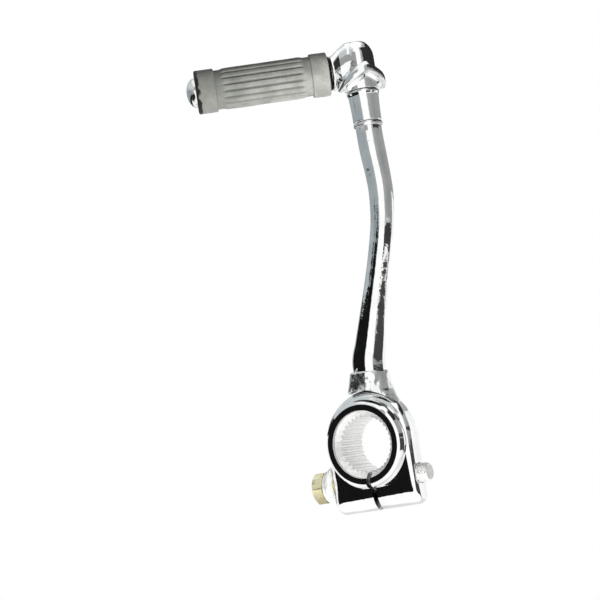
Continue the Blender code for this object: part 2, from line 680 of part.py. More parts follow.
def sleeve_mesh():
    """Rubber sleeve: plain end bands, smooth necks and lengthwise ribs between them."""
    start, end = SLEEVE
    count = RIBS * POINTS_PER_RIB
    # distance out, radius, groove share
    outside = [(start, BAND_R - 0.4, 0.0), (start + 0.4, BAND_R, 0.0), (start + 6.6, BAND_R, 0.0),
               (start + 7.0, BAND_R - 0.3, 0.0), (start + 7.5, BODY_R - 0.35, 0.0),
               (start + 10.0, BODY_R - 0.35, 0.0), (start + 11.3, BODY_R, 1.0),
               ((start + end) / 2.0, BODY_R, 1.0),
               (end - 11.9, BODY_R, 1.0), (end - 10.6, BODY_R - 0.35, 0.0), (end - 8.5, BODY_R - 0.35, 0.0),
               (end - 8.0, BAND_R - 0.3, 0.0), (end - 7.6, BAND_R, 0.0), (end - 0.5, BAND_R, 0.0),
               (end, BAND_R - 0.5, 0.0), (end, RECESS_R + 0.4, 0.0)]
    inside = [(end - 0.4, RECESS_R), (end - RECESS_DEPTH - 0.9, RECESS_R), (end - RECESS_DEPTH - 0.9, SLEEVE_BORE_R),
              (start, SLEEVE_BORE_R)]
    sections = []
    for out, radius, grooved in outside:
        ring = []
        for k in range(count):
            turn = 2.0 * math.pi * k / count
            phase = (k % POINTS_PER_RIB) / POINTS_PER_RIB
            dip = max(0.0, math.cos(2.0 * math.pi * phase)) ** 0.8
            reach = radius - GROOVE_DEPTH * grooved * dip
            ring.append((out, reach * math.cos(turn), PEDAL_Z + reach * math.sin(turn)))
        sections.append(ring)
    for out, radius in inside:
        sections.append([(out, radius * math.cos(2.0 * math.pi * k / count),
                          PEDAL_Z + radius * math.sin(2.0 * math.pi * k / count)) for k in range(count)])
    return turn_to_pedal(loft(sections, loop=True))


def main():
    clear_scene()
    chrome = material("chrome plated steel", (0.82, 0.83, 0.83), 0.08, 1.0)
    weld = material("plated weld", (0.62, 0.63, 0.64), 0.28, 1.0)
    yellow = material("yellow zinc", (0.78, 0.71, 0.42), 0.32, 1.0)
    zinc = material("grey zinc", (0.60, 0.60, 0.58), 0.35, 1.0)
    steel = material("turned steel", (0.56, 0.56, 0.55), 0.30, 1.0)
    spring_steel = material("spring steel", (0.30, 0.30, 0.31), 0.38, 1.0)
    bronze = material("bronze bush", (0.55, 0.38, 0.20), 0.38, 1.0)
    rubber = material("grey rubber", (0.33, 0.34, 0.32), 0.72, 0.0)
    black = material("black ring", (0.02, 0.02, 0.02), 0.6, 0.0)

    build_clamp(chrome)
    build_pinch_bolt(yellow, zinc)
    build_arm(chrome)
    build_root_weld(weld)

    axis_point = (HEAD_X, ARM_Y, 0.0)
    head_axis = joint_empty("head_axis", axis_point)
    build_lower_head(head_axis, chrome, steel, bronze, spring_steel)
    build_carrier(joint_empty("lift_axis", axis_point), steel)
    build_pedal(joint_empty("fold_axis", axis_point), chrome, steel, rubber, black)


main()
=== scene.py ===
"""Studio scene of a motorcycle gear shift lever: plated clamp and arm, folding rubber pedal.

Shapes are in millimetres in the frame of the CAD model and become metres through MM.
"""
from math import atan2, cos, pi, radians, sin, sqrt, tan

import bmesh
import bpy
from mathutils import Matrix, Vector, noise


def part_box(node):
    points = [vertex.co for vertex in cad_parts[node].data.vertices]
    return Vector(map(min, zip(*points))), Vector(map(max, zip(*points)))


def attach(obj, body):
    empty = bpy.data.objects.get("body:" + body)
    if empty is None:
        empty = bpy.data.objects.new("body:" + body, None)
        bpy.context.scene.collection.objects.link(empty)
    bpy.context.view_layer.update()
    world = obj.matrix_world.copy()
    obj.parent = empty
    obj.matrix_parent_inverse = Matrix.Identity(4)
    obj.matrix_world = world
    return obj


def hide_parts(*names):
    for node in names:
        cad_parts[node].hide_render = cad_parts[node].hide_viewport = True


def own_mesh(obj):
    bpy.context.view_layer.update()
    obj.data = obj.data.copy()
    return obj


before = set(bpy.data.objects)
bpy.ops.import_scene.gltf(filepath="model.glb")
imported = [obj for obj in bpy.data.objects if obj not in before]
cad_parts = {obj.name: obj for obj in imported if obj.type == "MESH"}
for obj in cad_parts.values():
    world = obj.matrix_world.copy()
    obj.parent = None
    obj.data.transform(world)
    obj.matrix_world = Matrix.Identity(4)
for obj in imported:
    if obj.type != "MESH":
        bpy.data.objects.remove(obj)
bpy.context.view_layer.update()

MM = 0.001


def size_of(node):
    """Lowest and highest corner of a CAD node, in millimetres."""
    low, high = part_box(node)
    return low / MM, high / MM


def centre_of(node):
    low, high = size_of(node)
    return (low + high) / 2.0


# ---- places taken from the CAD nodes ----
HEAD_X, ARM_Y, _ = centre_of("spring_housing")
_, BOLT_Y, BOLT_Z = centre_of("plain_washer")
(_, BOSS_FRONT_Y, ARCH_BOTTOM_Z), (ARCH_HALF_X, BOSS_BACK_Y, ARCH_TOP_Z) = size_of("clamp_boss")
ARCH_CENTRE_Z = ARCH_TOP_Z - ARCH_HALF_X
BOLT_START_X, BOLT_END_X = (corner.x for corner in size_of("pinch_bolt"))
HOUSING_Z = [corner.z for corner in size_of("spring_housing")]
SPRING_BOX = size_of("detent_spring")
ARM_TOP_Z = size_of("arm_bar")[1].z
CROSS_PIN_Z = centre_of("cross_pin").z
PEDAL_Z = centre_of("inner_ring").z

# ---- clamp ----
FIT = 0.3
BORE_ROOT_R = 12.1
BORE_TIP_R = 11.3
SPLINE_TEETH = 34
BOSS_R = 18.5
BOSS_SHOULDER = ((16.3, 0.0), (17.4, 0.55), (18.15, 1.5), (BOSS_R, 2.6))   # radius, depth
HUB_BACK_R = 16.0
MOUTH_R = 14.1
MOUTH_WALL = 1.2
MOUTH_CONE = 2.3
BACK_MOUTH_R = 12.9
BACK_MOUTH_DEPTH = 1.0
ARCH_FRONT_Y = -7.4
ARCH_BACK_Y = 3.6
ARCH_FOOT_RISE = 7.0
ARCH_CORNER_R = 2.5
ARCH_FRONT_EDGE = (2.8, 2.8)   # inset and depth of the rounding
ARCH_BACK_EDGE = (3.0, 4.0)
ARCH_LEAN_Z = 6.0              # above this the front face leans back
ARCH_LEAN_BEND = 6.0
ARCH_LEAN = 0.21
SLIT_HALF = 1.05
BOLT_R = 4.0
BOLT_HOLE_R = 4.3
HEX_ACROSS_FLATS = 13.0
HEAD_HEIGHT = 5.3
THREAD_PITCH = 1.25
THREAD_DEPTH = 0.62
THREAD_LENGTH = 22.0

# ---- arm ----
ROOT_POINT = (3.1, 18.0)
ROOT_TOP = (4.3, 33.0)
ROOT_R = 7.0
ARM_UPPER_R = 5.45
ARM_POCKET_R = 4.3             # pocket in the arm's top for the pivot pin's end and its nut
ARM_POCKET_Z = 127.9
ARM_PATH = ((6.6, 41.0, 6.5), (10.8, 55.0, 5.6), (15.2, 69.0, 5.0), (18.5, 79.5, 4.9), (21.3, 90.0, 4.9),
            (22.9, 101.0, 5.1), (23.0, 109.0, 5.2), (22.4, 119.0, ARM_UPPER_R),
            (HEAD_X, 127.0, ARM_UPPER_R))
# weld bead: height up the root, and how far it stands out on the -X and the +X side
WELD_PROFILE = ((-9.0, 0.0, 0.0), (11.6, 0.0, 0.0), (12.0, 0.5, 0.4), (11.2, 1.2, 0.8), (9.0, 1.9, 1.2),
                (6.5, 2.3, 1.7), (4.0, 2.6, 2.8), (1.5, 2.8, 4.2), (-1.5, 2.8, 5.6), (-9.0, 2.8, 6.0))

# ---- folding head ----
HOUSING_R = 6.0
HOUSING_BORE_R = 4.3
HOUSING_FLARE_R = 7.1
CAM_R = 10.2
CAM_BORE_R = 3.8
CAM_RIDGE_Z = 157.2
CAM_DROP = 6.4
CAM_WING = 4.8
CAM_TOP_CHAMFER = 1.9
CAM_FILLET = 1.5               # under the wing, at the foot
CAM_FOOT_R = 6.9
CAM_FOOT_Z = 146.1
CAM_RIDGE_AZIMUTH = radians(50.0)
CAM_LAND = radians(4.0)
CAM_STEPS = 288
KNUCKLE_R = 6.9
KNUCKLE_CROWN = ((6.9, 160.3), (6.75, 161.9), (6.3, 163.4), (5.65, 164.7), (4.9, 165.7),
                 (4.1, 166.5), (3.2, 167.0), (1.2, 167.2))   # radius, Z
PIN_BORE_R = 2.6
SPRING_WIRE_R = 0.5
SPRING_MEAN_R = 3.5
SPRING_TURNS = 5.0
PIN_TOP_Z = 164.2
CROSS_PIN_R = 1.0
CROSS_PIN_AZIMUTH = radians(11.0)

# ---- pedal, measured outward from the fold axis ----
PEDAL_AZIMUTH = radians(-55.4)
# distance out, height, half width and half height of the neck before its flange
NECK_PATH = ((1.7, 159.2, 6.5, 8.5), (4.5, 159.0, 5.9, 8.5), (8.0, 157.4, 4.9, 7.8))
FLANGE_R = 7.3
FLANGE_AT = 11.8
PEG_R = 4.0
PEG_END = 66.8
SCREW_HOLE_R = 2.3
SLEEVE = (13.2, 69.2)
SLEEVE_BORE_R = 4.3
BAND_R = 9.2
BODY_R = 8.6
GROOVE_DEPTH = 0.85
RIBS = 18
RECESS_R = 7.2
RECESS_DEPTH = 1.9
INNER_RING_R = 7.1
END_WASHER = 0.9               # thickness
SCREW_HEAD_R = 6.2
SCREW_HEAD_HEIGHT = 4.9


# ==== materials ====

STAIN_TINT = (0.45, 0.42, 0.38)
SPECK_TINT = (0.5, 0.5, 0.5)
OLIVE = (0.25, 0.22, 0.11)
SATIN_LIGHT = (0.97, 0.97, 0.96)
SATIN_DARK = (0.84, 0.84, 0.83)
# partly the grey of bare sawn steel, partly painted shade in the clamp's slit
SAWN_AND_SHADE_GREY = 0.30
# painted shade on the bolt's end
BOLT_END_SHADE_GREY = 0.20
# painted shadow at the rubber's outer rim
RIM_SHADOW_BLACK = 0.008
DUST_TINT = (1.18, 1.17, 1.12)
GRAIN_TINT = (0.6, 0.6, 0.6)
# painted shade in the rubber's grooves
GROOVE_SHADE_TINT = (0.40, 0.41, 0.39)
# painted shade on the rubber's top and outer end
PAINTED_SHADE_TINT = (0.36, 0.37, 0.35)


class Graph:
    """Small helper that adds linked nodes to a tree."""

    def __init__(self, tree):
        self.tree = tree

    def add(self, kind, sockets=None, **settings):
        node = self.tree.nodes.new(kind)
        for key, value in settings.items():
            setattr(node, key, value)
        for key, value in (sockets or {}).items():
            self.set(node, key, value)
        return node

    def set(self, node, key, value):
        socket = node.inputs[key]
        if isinstance(value, bpy.types.NodeSocket):
            self.tree.links.new(value, socket)
        else:
            socket.default_value = value

    def math(self, operation, a, b):
        return self.add("ShaderNodeMath", {0: a, 1: b}, operation=operation).outputs[0]

    def plus(self, a, b):
        return self.math("ADD", a, b)

    def times(self, a, b):
        return self.math("MULTIPLY", a, b)

    def vector(self, operation, a, b=(0.0, 0.0, 0.0), output="Vector"):
        return self.add("ShaderNodeVectorMath", {0: a, 1: b}, operation=operation).outputs[output]

    def length(self, a):
        return self.vector("LENGTH", a, output="Value")

    def parts(self, a):
        return self.add("ShaderNodeSeparateXYZ", {0: a}).outputs

    def noise(self, place, scale, detail=4.0, roughness=0.55):
        made = self.add("ShaderNodeTexNoise", {"Vector": place, "Scale": scale, "Detail": detail,
                                               "Roughness": roughness})
        return made.outputs["Fac"]

    def remap(self, value, low, high, to_low=0.0, to_high=1.0, smooth=True):
        made = self.add("ShaderNodeMapRange", {"Value": value, "From Min": low, "From Max": high,
                                               "To Min": to_low, "To Max": to_high})
        made.interpolation_type = "SMOOTHSTEP" if smooth else "LINEAR"
        return made.outputs[0]

    def mix(self, share, a, b):
        made = self.add("ShaderNodeMix", data_type="RGBA")
        for index, value in ((0, share), (6, a), (7, b)):
            self.set(made, index, value)
        return made.outputs[2]

    def bump(self, height, distance, normal=None):
        sockets = {"Height": height, "Distance": distance}
        if normal is not None:
            sockets["Normal"] = normal
        return self.add("ShaderNodeBump", sockets).outputs[0]

    def stretched(self, place, scale):
        return self.add("ShaderNodeMapping", {"Vector": place, "Scale": scale}).outputs[0]


def shade(colour, tint=(1.0, 1.0, 1.0)):
    """Opaque colour with its channels scaled by a tint."""
    return (*(channel * scale for channel, scale in zip(colour, tint)), 1.0)


def grey(level):
    return (level, level, level, 1.0)


def new_material(name, metallic, **sockets):
    made = bpy.data.materials.new(name)
    made.use_nodes = True
    shader = made.node_tree.nodes["Principled BSDF"]
    shader.inputs["Metallic"].default_value = metallic
    for key, value in sockets.items():
        shader.inputs[key.replace("_", " ")].default_value = value
    return (made, *reopened(made))


def reopened(made):
    """Graph, shader and object coordinates of a material, for adding to it."""
    graph = Graph(made.node_tree)
    place = graph.add("ShaderNodeTexCoord").outputs["Object"]
    return graph, made.node_tree.nodes["Principled BSDF"], place


def source_of(shader, socket):
    return shader.inputs[socket].links[0].from_socket


def plated(name, light, dark, rough, pit, wave, stain=0.25):
    """Plated metal: cloudy tone, uneven gloss, slow waves, fine pits and hair scratches."""
    made, graph, shader, place = new_material(name, 1.0)
    cloud = graph.noise(place, 130.0, 5.0)
    spots = graph.noise(place, 900.0, 3.0, 0.7)
    dirt = graph.times(graph.remap(spots, 0.62, 0.78), graph.remap(cloud, 0.45, 0.7))
    tone = graph.mix(graph.remap(cloud, 0.35, 0.7), shade(dark), shade(light))
    tone = graph.mix(graph.times(dirt, stain), tone, shade(dark, STAIN_TINT))
    graph.set(shader, "Base Color", tone)
    hair = graph.noise(graph.stretched(place, (2600.0, 2600.0, 160.0)), 1.0, 2.0)
    gloss = graph.remap(cloud, 0.3, 0.75, rough * 0.7, rough * 1.5)
    gloss = graph.plus(gloss, graph.times(dirt, 0.22))
    gloss = graph.plus(gloss, graph.remap(hair, 0.62, 0.75, 0.0, 0.05))
    graph.set(shader, "Roughness", gloss)
    normal = graph.bump(graph.noise(place, 95.0, 1.0), wave * MM)
    normal = graph.bump(graph.noise(place, 420.0, 2.0), wave * 0.22 * MM, normal)
    normal = graph.bump(graph.noise(place, 1900.0, 2.0), pit * MM, normal)
    normal = graph.bump(hair, 0.0012 * MM, normal)
    graph.set(shader, "Normal", normal)
    return made


def machined(made):
    """Give a plated clamp a bright satin bore with fine tool marks and a dull grey sawn slit, darkened
    further as painted shade in the gap.
    """
    graph, shader, place = reopened(made)
    reach = graph.length(graph.vector("MULTIPLY", place, (1.0, 0.0, 1.0)))
    inside = graph.remap(reach, (MOUTH_R + 0.12) * MM, (MOUTH_R + 0.02) * MM)
    marks = graph.noise(graph.stretched(place, (400.0, 5000.0, 400.0)), 1.0, 2.0)
    satin = graph.mix(graph.remap(marks, 0.35, 0.7), shade(SATIN_LIGHT), shade(SATIN_DARK))
    tone = graph.mix(inside, source_of(shader, "Base Color"), satin)
    parts = graph.parts(place)
    beside = graph.math("ABSOLUTE", parts["X"], 0.0)
    # slit walls below the bore: grey of bare sawn steel, darkened further as painted shade in the narrow gap
    sawn = graph.remap(beside, (SLIT_HALF + 0.1) * MM, (SLIT_HALF + 0.03) * MM, 0.0, 0.85)
    sawn = graph.times(sawn, graph.remap(parts["Z"], -BORE_TIP_R * MM, -BORE_ROOT_R * MM))
    graph.set(shader, "Base Color", graph.mix(sawn, tone, grey(SAWN_AND_SHADE_GREY)))
    gloss = source_of(shader, "Roughness")
    change = graph.math("SUBTRACT", graph.remap(marks, 0.3, 0.7, 0.34, 0.46), gloss)
    graph.set(shader, "Roughness", graph.plus(gloss, graph.times(inside, change)))
    return made


def turned_metal(name, light, dark, rough, grain=(300.0, 300.0, 9000.0), patina=None, metallic=1.0):
    """Machined or dull-plated metal with a lathe grain and an uneven finish."""
    made, graph, shader, place = new_material(name, metallic)
    cloud = graph.noise(place, 260.0, 5.0, 0.6)
    speck = graph.noise(place, 2200.0, 2.0)
    lines = graph.noise(graph.stretched(place, grain), 1.0, 2.0)
    tone = graph.mix(graph.remap(cloud, 0.38, 0.65), shade(dark), shade(light))
    if patina:
        share = graph.remap(graph.noise(place, 170.0, 3.0), 0.5, 0.72, 0.0, 0.75)
        tone = graph.mix(share, tone, shade(patina))
    tone = graph.mix(graph.remap(speck, 0.6, 0.8, 0.0, 0.3), tone, shade(dark, SPECK_TINT))
    graph.set(shader, "Base Color", tone)
    gloss = graph.remap(cloud, 0.3, 0.7, rough * 0.8, rough * 1.25)
    graph.set(shader, "Roughness", graph.plus(gloss, graph.remap(lines, 0.4, 0.8, 0.0, 0.12)))
    normal = graph.bump(lines, 0.006 * MM)
    graph.set(shader, "Normal", graph.bump(speck, 0.008 * MM, normal))
    return made


def bolt_material(name, light, dark, patina, shank):
    """Yellow zinc on the bolt's head, olive and dull low down, worn through to grey on the thread, with
    painted shade on its end.
    """
    made = turned_metal(name, light, dark, 0.24, (9000.0, 300.0, 300.0), patina, 0.7)
    graph, shader, place = reopened(made)
    parts = graph.parts(place)
    along = parts["X"]
    ragged = graph.plus(parts["Z"], graph.times(graph.noise(place, 500.0, 3.0), 4.0 * MM))
    dull = graph.remap(ragged, (BOLT_Z - 4.0) * MM, (BOLT_Z + 5.0) * MM, 0.85, 0.0)
    head = graph.mix(dull, source_of(shader, "Base Color"), shade(OLIVE))
    cloud = graph.remap(graph.noise(place, 700.0, 4.0), 0.4, 0.65)
    thread = graph.mix(cloud, shade(shank), shade(shank, (0.75, 0.75, 0.74)))
    tone = graph.mix(graph.remap(along, -18.0 * MM, -8.0 * MM), head, thread)
    # painted shade: dark grey on the bolt's cut end
    end = graph.remap(along, (BOLT_END_X - 0.25) * MM, (BOLT_END_X - 0.1) * MM, 0.0, 0.55)
    graph.set(shader, "Base Color", graph.mix(end, tone, grey(BOLT_END_SHADE_GREY)))
    return made


def rubber_material(name, light, dark, fold_axis, way):
    """Moulded rubber: mottled and dusty, with painted shade in its grooves, on top and further out, and a
    painted shadow as a black band at the rim.
    """
    made, graph, shader, place = new_material(name, 0.0, Specular_IOR_Level=0.32)
    mottled = graph.noise(place, 120.0, 6.0, 0.62)
    grain = graph.noise(place, 2600.0, 3.0, 0.6)
    blotch = graph.noise(place, 420.0, 4.0, 0.6)
    away = graph.vector("SUBTRACT", place, tuple(fold_axis))
    along = graph.vector("DOT_PRODUCT", away, tuple(way), "Value")
    onto = graph.add("ShaderNodeVectorMath", {0: tuple(way), "Scale": along}, operation="SCALE").outputs[0]
    across = graph.vector("SUBTRACT", away, onto)
    height = graph.parts(across)["Z"]
    crown = graph.remap(graph.length(across), (BODY_R - GROOVE_DEPTH) * MM, BODY_R * MM)
    tone = graph.mix(graph.remap(mottled, 0.34, 0.68), shade(dark), shade(light))
    tone = graph.mix(graph.remap(blotch, 0.5, 0.72, 0.0, 0.35), tone, shade(light, DUST_TINT))
    tone = graph.mix(graph.remap(grain, 0.62, 0.8, 0.0, 0.3), tone, shade(dark, GRAIN_TINT))
    # painted shade: darkens the grooves between the ribs, most on the upper side
    groove_shade = graph.times(graph.remap(crown, 0.0, 1.0, 1.0, 0.0),
                         graph.remap(height, -3.0 * MM, 6.0 * MM, 0.4, 0.95))
    tone = graph.mix(groove_shade, tone, shade(dark, GROOVE_SHADE_TINT))
    # painted shade: darker further out along the pedal and over its top, with ragged edges
    further = graph.plus(along, graph.times(blotch, 12.0 * MM))
    worn = graph.remap(further, 6.0 * MM, 78.0 * MM, 0.0, 0.86, False)
    top_shade = graph.remap(graph.plus(height, graph.times(mottled, 3.0 * MM)), 3.0 * MM, 10.5 * MM, 0.0, 0.62)
    painted_shade = graph.times(graph.math("MAXIMUM", worn, top_shade), 0.85)
    tone = graph.mix(painted_shade, tone, shade(dark, PAINTED_SHADE_TINT))
    # painted shadow: near-black ragged band at the rubber's outer end
    ragged = graph.plus(along, graph.times(graph.noise(place, 210.0, 2.0), 4.0 * MM))
    rim = graph.remap(ragged, (SLEEVE[1] + 0.3) * MM, (SLEEVE[1] + 0.9) * MM)
    graph.set(shader, "Base Color", graph.mix(rim, tone, grey(RIM_SHADOW_BLACK)))
    gloss = graph.remap(crown, 0.0, 1.0, 0.78, 0.56)
    graph.set(shader, "Roughness", graph.plus(gloss, graph.remap(blotch, 0.3, 0.7, -0.06, 0.1)))
    normal = graph.bump(graph.noise(place, 380.0, 3.0), 0.05 * MM)
    graph.set(shader, "Normal", graph.bump(grain, 0.035 * MM, normal))
    return made


# ==== mesh tools ====

def piece(node, mesh, surface, body, angle=32.0, steps=()):
    """Turn a bmesh in millimetres into a riding piece that stands for its CAD node."""
    item = solid("look_" + node, mesh, steps, angle)
    item.data.materials.append(surface)
    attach(item, body)
    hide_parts(node)
    return item


def solid(name, mesh, steps=(), angle=32.0):
    """Object from a bmesh with its booleans and bevels applied, smooth below an angle."""
    bmesh.ops.recalc_face_normals(mesh, faces=mesh.faces)
    bmesh.ops.scale(mesh, vec=(MM, MM, MM), verts=mesh.verts)
    data = bpy.data.meshes.new(name)
    mesh.to_mesh(data)
    mesh.free()
    item = bpy.data.objects.new(name, data)
    bpy.context.scene.collection.objects.link(item)
    for step in steps:
        step(item)
    item.data.shade_smooth()
    item.data.set_sharp_from_angle(angle=radians(angle))
    return item


def join(mesh):
    return boolean("UNION", mesh)


def cut(mesh):
    return boolean("DIFFERENCE", mesh)


def boolean(operation, mesh):
    """Step that joins or cuts with another bmesh."""
    def apply(item):
        other = solid("cutter", mesh)
        change = item.modifiers.new(operation, "BOOLEAN")
        change.operation = operation
        change.solver = "EXACT"
        change.object = other
        bake(item)
        bpy.data.objects.remove(other, do_unlink=True)
    return apply


def bevel(width, segments, limit=40.0):
    def apply(item):
        change = item.modifiers.new("bevel", "BEVEL")
        change.width = width * MM
        change.segments = segments
        change.limit_method = "ANGLE"
        change.angle_limit = radians(limit)
        change.use_clamp_overlap = True
        bake(item)
    return apply


def bake(item):
    bpy.context.view_layer.update()
    graph = bpy.context.evaluated_depsgraph_get()
    baked = bpy.data.meshes.new_from_object(item.evaluated_get(graph))
    item.modifiers.clear()
    item.data = baked


def bridge(mesh, rings, loop):
    """Join each ring to the next with quads, and the last to the first in a loop."""
    count = len(rings[0])
    pairs = list(zip(rings, rings[1:]))
    if loop:
        pairs.append((rings[-1], rings[0]))
    for low, high in pairs:
        for i in range(count):
            j = (i + 1) % count
            mesh.faces.new((low[i], low[j], high[j], high[i]))


def loft(sections, loop=False):
    """Skin over a row of sections, capped at both ends or closed into a loop."""
    mesh = bmesh.new()
    rings = [[mesh.verts.new(point) for point in section] for section in sections]
    bridge(mesh, rings, loop)
    if not loop:
        mesh.faces.new(rings[0])
        mesh.faces.new(rings[-1])
    return mesh


def rounded(profile, radius, loop=True, steps=6):
    """Profile with its corners turned into arcs; a third value gives a corner its own radius."""
    made = []
    count = len(profile)
    for i, corner in enumerate(profile):
        here = Vector(corner[:2])
        if not loop and i in (0, count - 1):
            made.append(tuple(here))
            continue
        before = Vector(profile[i - 1][:2]) - here
        after = Vector(profile[(i + 1) % count][:2]) - here
        size = corner[2] if len(corner) > 2 else radius
        half = before.angle(after) / 2.0
        reach = min(size / tan(half), before.length * 0.45, after.length * 0.45)
        if size <= 0.0 or half > radians(88.0):
            made.append(tuple(here))
            continue
        size = reach * tan(half)
        start = here + before.normalized() * reach
        end = here + after.normalized() * reach
        middle = here + (before.normalized() + after.normalized()).normalized() * (size / sin(half))
        first = start - middle
        last = end - middle
        turn = first.angle(last)
        for k in range(steps + 1):
            share = k / steps
            way = (first * sin((1.0 - share) * turn) + last * sin(share * turn)) / sin(turn)
            made.append(tuple(middle + way))
    return made


def turns(count):
    """Angles of points evenly spaced round a circle."""
    return [2.0 * pi * i / count for i in range(count)]


def unit(value):
    return max(0.0, min(1.0, value))


def ease(share):
    return share * share * (3.0 - 2.0 * share)


def lathe(profile, steps=96, loop=True):
    """Solid of revolution about Z from (radius, height)."""
    return loft([[(radius * cos(turn), radius * sin(turn), height) for turn in turns(steps)]
                 for radius, height in profile], loop)


def along_axis(mesh, direction, origin=(0.0, 0.0, 0.0)):
    turn = Vector((0.0, 0.0, 1.0)).rotation_difference(Vector(direction)).to_matrix().to_4x4()
    mesh.transform(Matrix.Translation(Vector(origin)) @ turn)
    return mesh


def at_head(mesh):
    mesh.transform(Matrix.Translation((HEAD_X, ARM_Y, 0.0)))
    return mesh


def turn_to_pedal(mesh):
    """Swing a shape built along +X round to the pedal and put it on the fold axis."""
    way = azimuth_direction(PEDAL_AZIMUTH)
    mesh.transform(Matrix.Rotation(atan2(way.y, way.x), 4, "Z"))
    return at_head(mesh)


def pedal_lathe(profile, steps=96, loop=True):
    return turn_to_pedal(along_axis(lathe(profile, steps, loop), (1.0, 0.0, 0.0), (0.0, 0.0, PEDAL_Z)))


def prism(outline, front, back):
    """Outline of X and Z, extruded along Y."""
    return loft([[(x, depth, z) for x, z in outline] for depth in (front, back)])


def azimuth_direction(azimuth):
    return Vector((sin(azimuth), -cos(azimuth), 0.0))


# ==== clamp ====

def lean_back(height):
    """How far the front face leans back: a bend at ARCH_LEAN_Z, then a straight slope."""
    over = max(0.0, height - ARCH_LEAN_Z)
    bend = min(over, ARCH_LEAN_BEND)
    return ARCH_LEAN * bend * bend / (2.0 * ARCH_LEAN_BEND) + ARCH_LEAN * (over - bend)


def arch_ring(depth, inset, rise, lean, steps=72):
    """Closed outline of the arch at one depth: rounded foot corners, half-round top."""
    half = ARCH_HALF_X - inset
    bottom = ARCH_BOTTOM_Z + rise
    corner = ARCH_CORNER_R
    right = []
    for i in range(10):
        turn = pi / 2.0 * i / 9
        x = half - corner * (1.0 - sin(turn))
        right.append((x, bottom + corner * (1.0 - cos(turn))))
    for i in range(steps):
        turn = pi / 2.0 * i / (steps - 0.5)
        right.append((half * cos(turn), ARCH_CENTRE_Z + half * sin(turn)))
    both = right + [(-x, z) for x, z in reversed(right)]
    return [(x, depth + lean_back(z) * lean, z) for x, z in both]


def rounding(distance, edge):
    """Inset of an elliptical edge rounding at a distance in from the face."""
    inset, depth = edge
    left = max(0.0, 1.0 - distance / depth)
    return inset * (1.0 - sqrt(1.0 - left * left))


def arch_stations(count=48):
    """Depth, inset, foot rise and lean share of each outline from front to back."""
    middle = (ARCH_FRONT_Y + ARCH_BACK_Y) / 2.0
    reach = (ARCH_BACK_Y - ARCH_FRONT_Y) / 2.0
    stations = []
    for i in range(count + 1):
        turn = pi * i / count
        depth = middle - reach * cos(turn)
        inset = rounding(depth - ARCH_FRONT_Y, ARCH_FRONT_EDGE)
        inset += rounding(ARCH_BACK_Y - depth, ARCH_BACK_EDGE)
        lean = unit((middle + 1.0 - depth) / 4.5)
        stations.append((depth, inset, ARCH_FOOT_RISE * (1.0 - sin(turn)), lean))
    return stations


def arch_solid(stations):
    """Loft through the outlines, closed by level strips so that every face stays flat."""
    mesh = bmesh.new()
    rings = [[mesh.verts.new(point) for point in arch_ring(*station)] for station in stations]
    bridge(mesh, rings, False)
    for ring in (rings[0], rings[-1]):
        count = len(ring)
        for i in range(count // 2 - 1):
            mesh.faces.new((ring[i], ring[i + 1], ring[count - 2 - i], ring[count - 1 - i]))
    bmesh.ops.triangulate(mesh, faces=mesh.faces)
    return mesh


def arch_clearance():
    """Cutter for whatever sits on the arch: its outline in front, its rounded edge behind."""
    middle = (ARCH_FRONT_Y + ARCH_BACK_Y) / 2.0
    stations = [(-40.0, -FIT, -FIT, 0.0), (middle, -FIT, -FIT, 0.0)]
    for depth, inset, rise, _ in arch_stations():
        if depth > middle + 0.5:
            stations.append((depth + FIT, inset - FIT, rise - FIT, 0.0))
    return arch_solid(stations)


def spline_outline():
    """Bore outline: tooth tips and grooves with sloped flanks and softened corners."""
    pitch = 2.0 * pi / SPLINE_TEETH
    tooth_shape = ((0.08, BORE_TIP_R), (0.24, BORE_TIP_R), (0.5, BORE_ROOT_R), (0.8, BORE_ROOT_R))
    corners = []
    for tooth in range(SPLINE_TEETH):
        for share, radius in tooth_shape:
            turn = (tooth + share) * pitch
            corners.append((radius * cos(turn), radius * sin(turn)))
    return rounded(corners, 0.14, steps=2)


def lead_cone(face_y, mouth_r, cone, wall, outward):
    """Cutter that opens a bore mouth: straight wall at the face, then a cone to the teeth."""
    slope = (mouth_r - BORE_TIP_R) / cone
    corners = [(BORE_TIP_R - slope, -1.0), (mouth_r, cone, 0.5), (mouth_r, cone + wall + 1.0)]
    cutter = lathe(rounded(corners, 0.5, False), 160, False)
    return along_axis(cutter, (0.0, outward, 0.0), (0.0, face_y - outward * (cone + wall), 0.0))


def clamp_mesh():
    length = BOSS_BACK_Y - BOSS_FRONT_Y
    step = ARCH_BACK_Y - BOSS_FRONT_Y - 0.5
    shoulder = [(15.0, 0.0), (BOSS_SHOULDER[0][0] + 0.3, 0.0, 0.6), (17.7, 0.75, 1.5), (BOSS_R, 2.4, 2.5)]
    wall = rounded([*shoulder, (BOSS_R, step - 1.0), (HUB_BACK_R, step, 0.8), (HUB_BACK_R, length, 0.9),
                    (14.5, length)], 0.4, loop=False, steps=10)
    boss = along_axis(lathe(wall, 200, False), (0.0, 1.0, 0.0), (0.0, BOSS_FRONT_Y, 0.0))
    bore = prism(spline_outline(), BOSS_FRONT_Y - 5.0, BOSS_BACK_Y + 5.0)
    hole = along_axis(lathe([(BOLT_HOLE_R, -30.0), (BOLT_HOLE_R, 30.0)], 64, False), (1.0, 0.0, 0.0),
                      (0.0, BOLT_Y, BOLT_Z))
    slit = prism([(-SLIT_HALF, -40.0), (SLIT_HALF, -40.0), (SLIT_HALF, -4.0), (-SLIT_HALF, -4.0)],
                 -30.0, 30.0)
    steps = (join(boss), cut(bore),
             cut(lead_cone(BOSS_FRONT_Y, MOUTH_R, MOUTH_CONE, MOUTH_WALL, -1.0)),
             cut(lead_cone(BOSS_BACK_Y, BACK_MOUTH_R, BACK_MOUTH_DEPTH, 0.0, 1.0)),
             cut(hole), cut(slit), bevel(0.25, 2, 55.0))
    return arch_solid(arch_stations()), steps


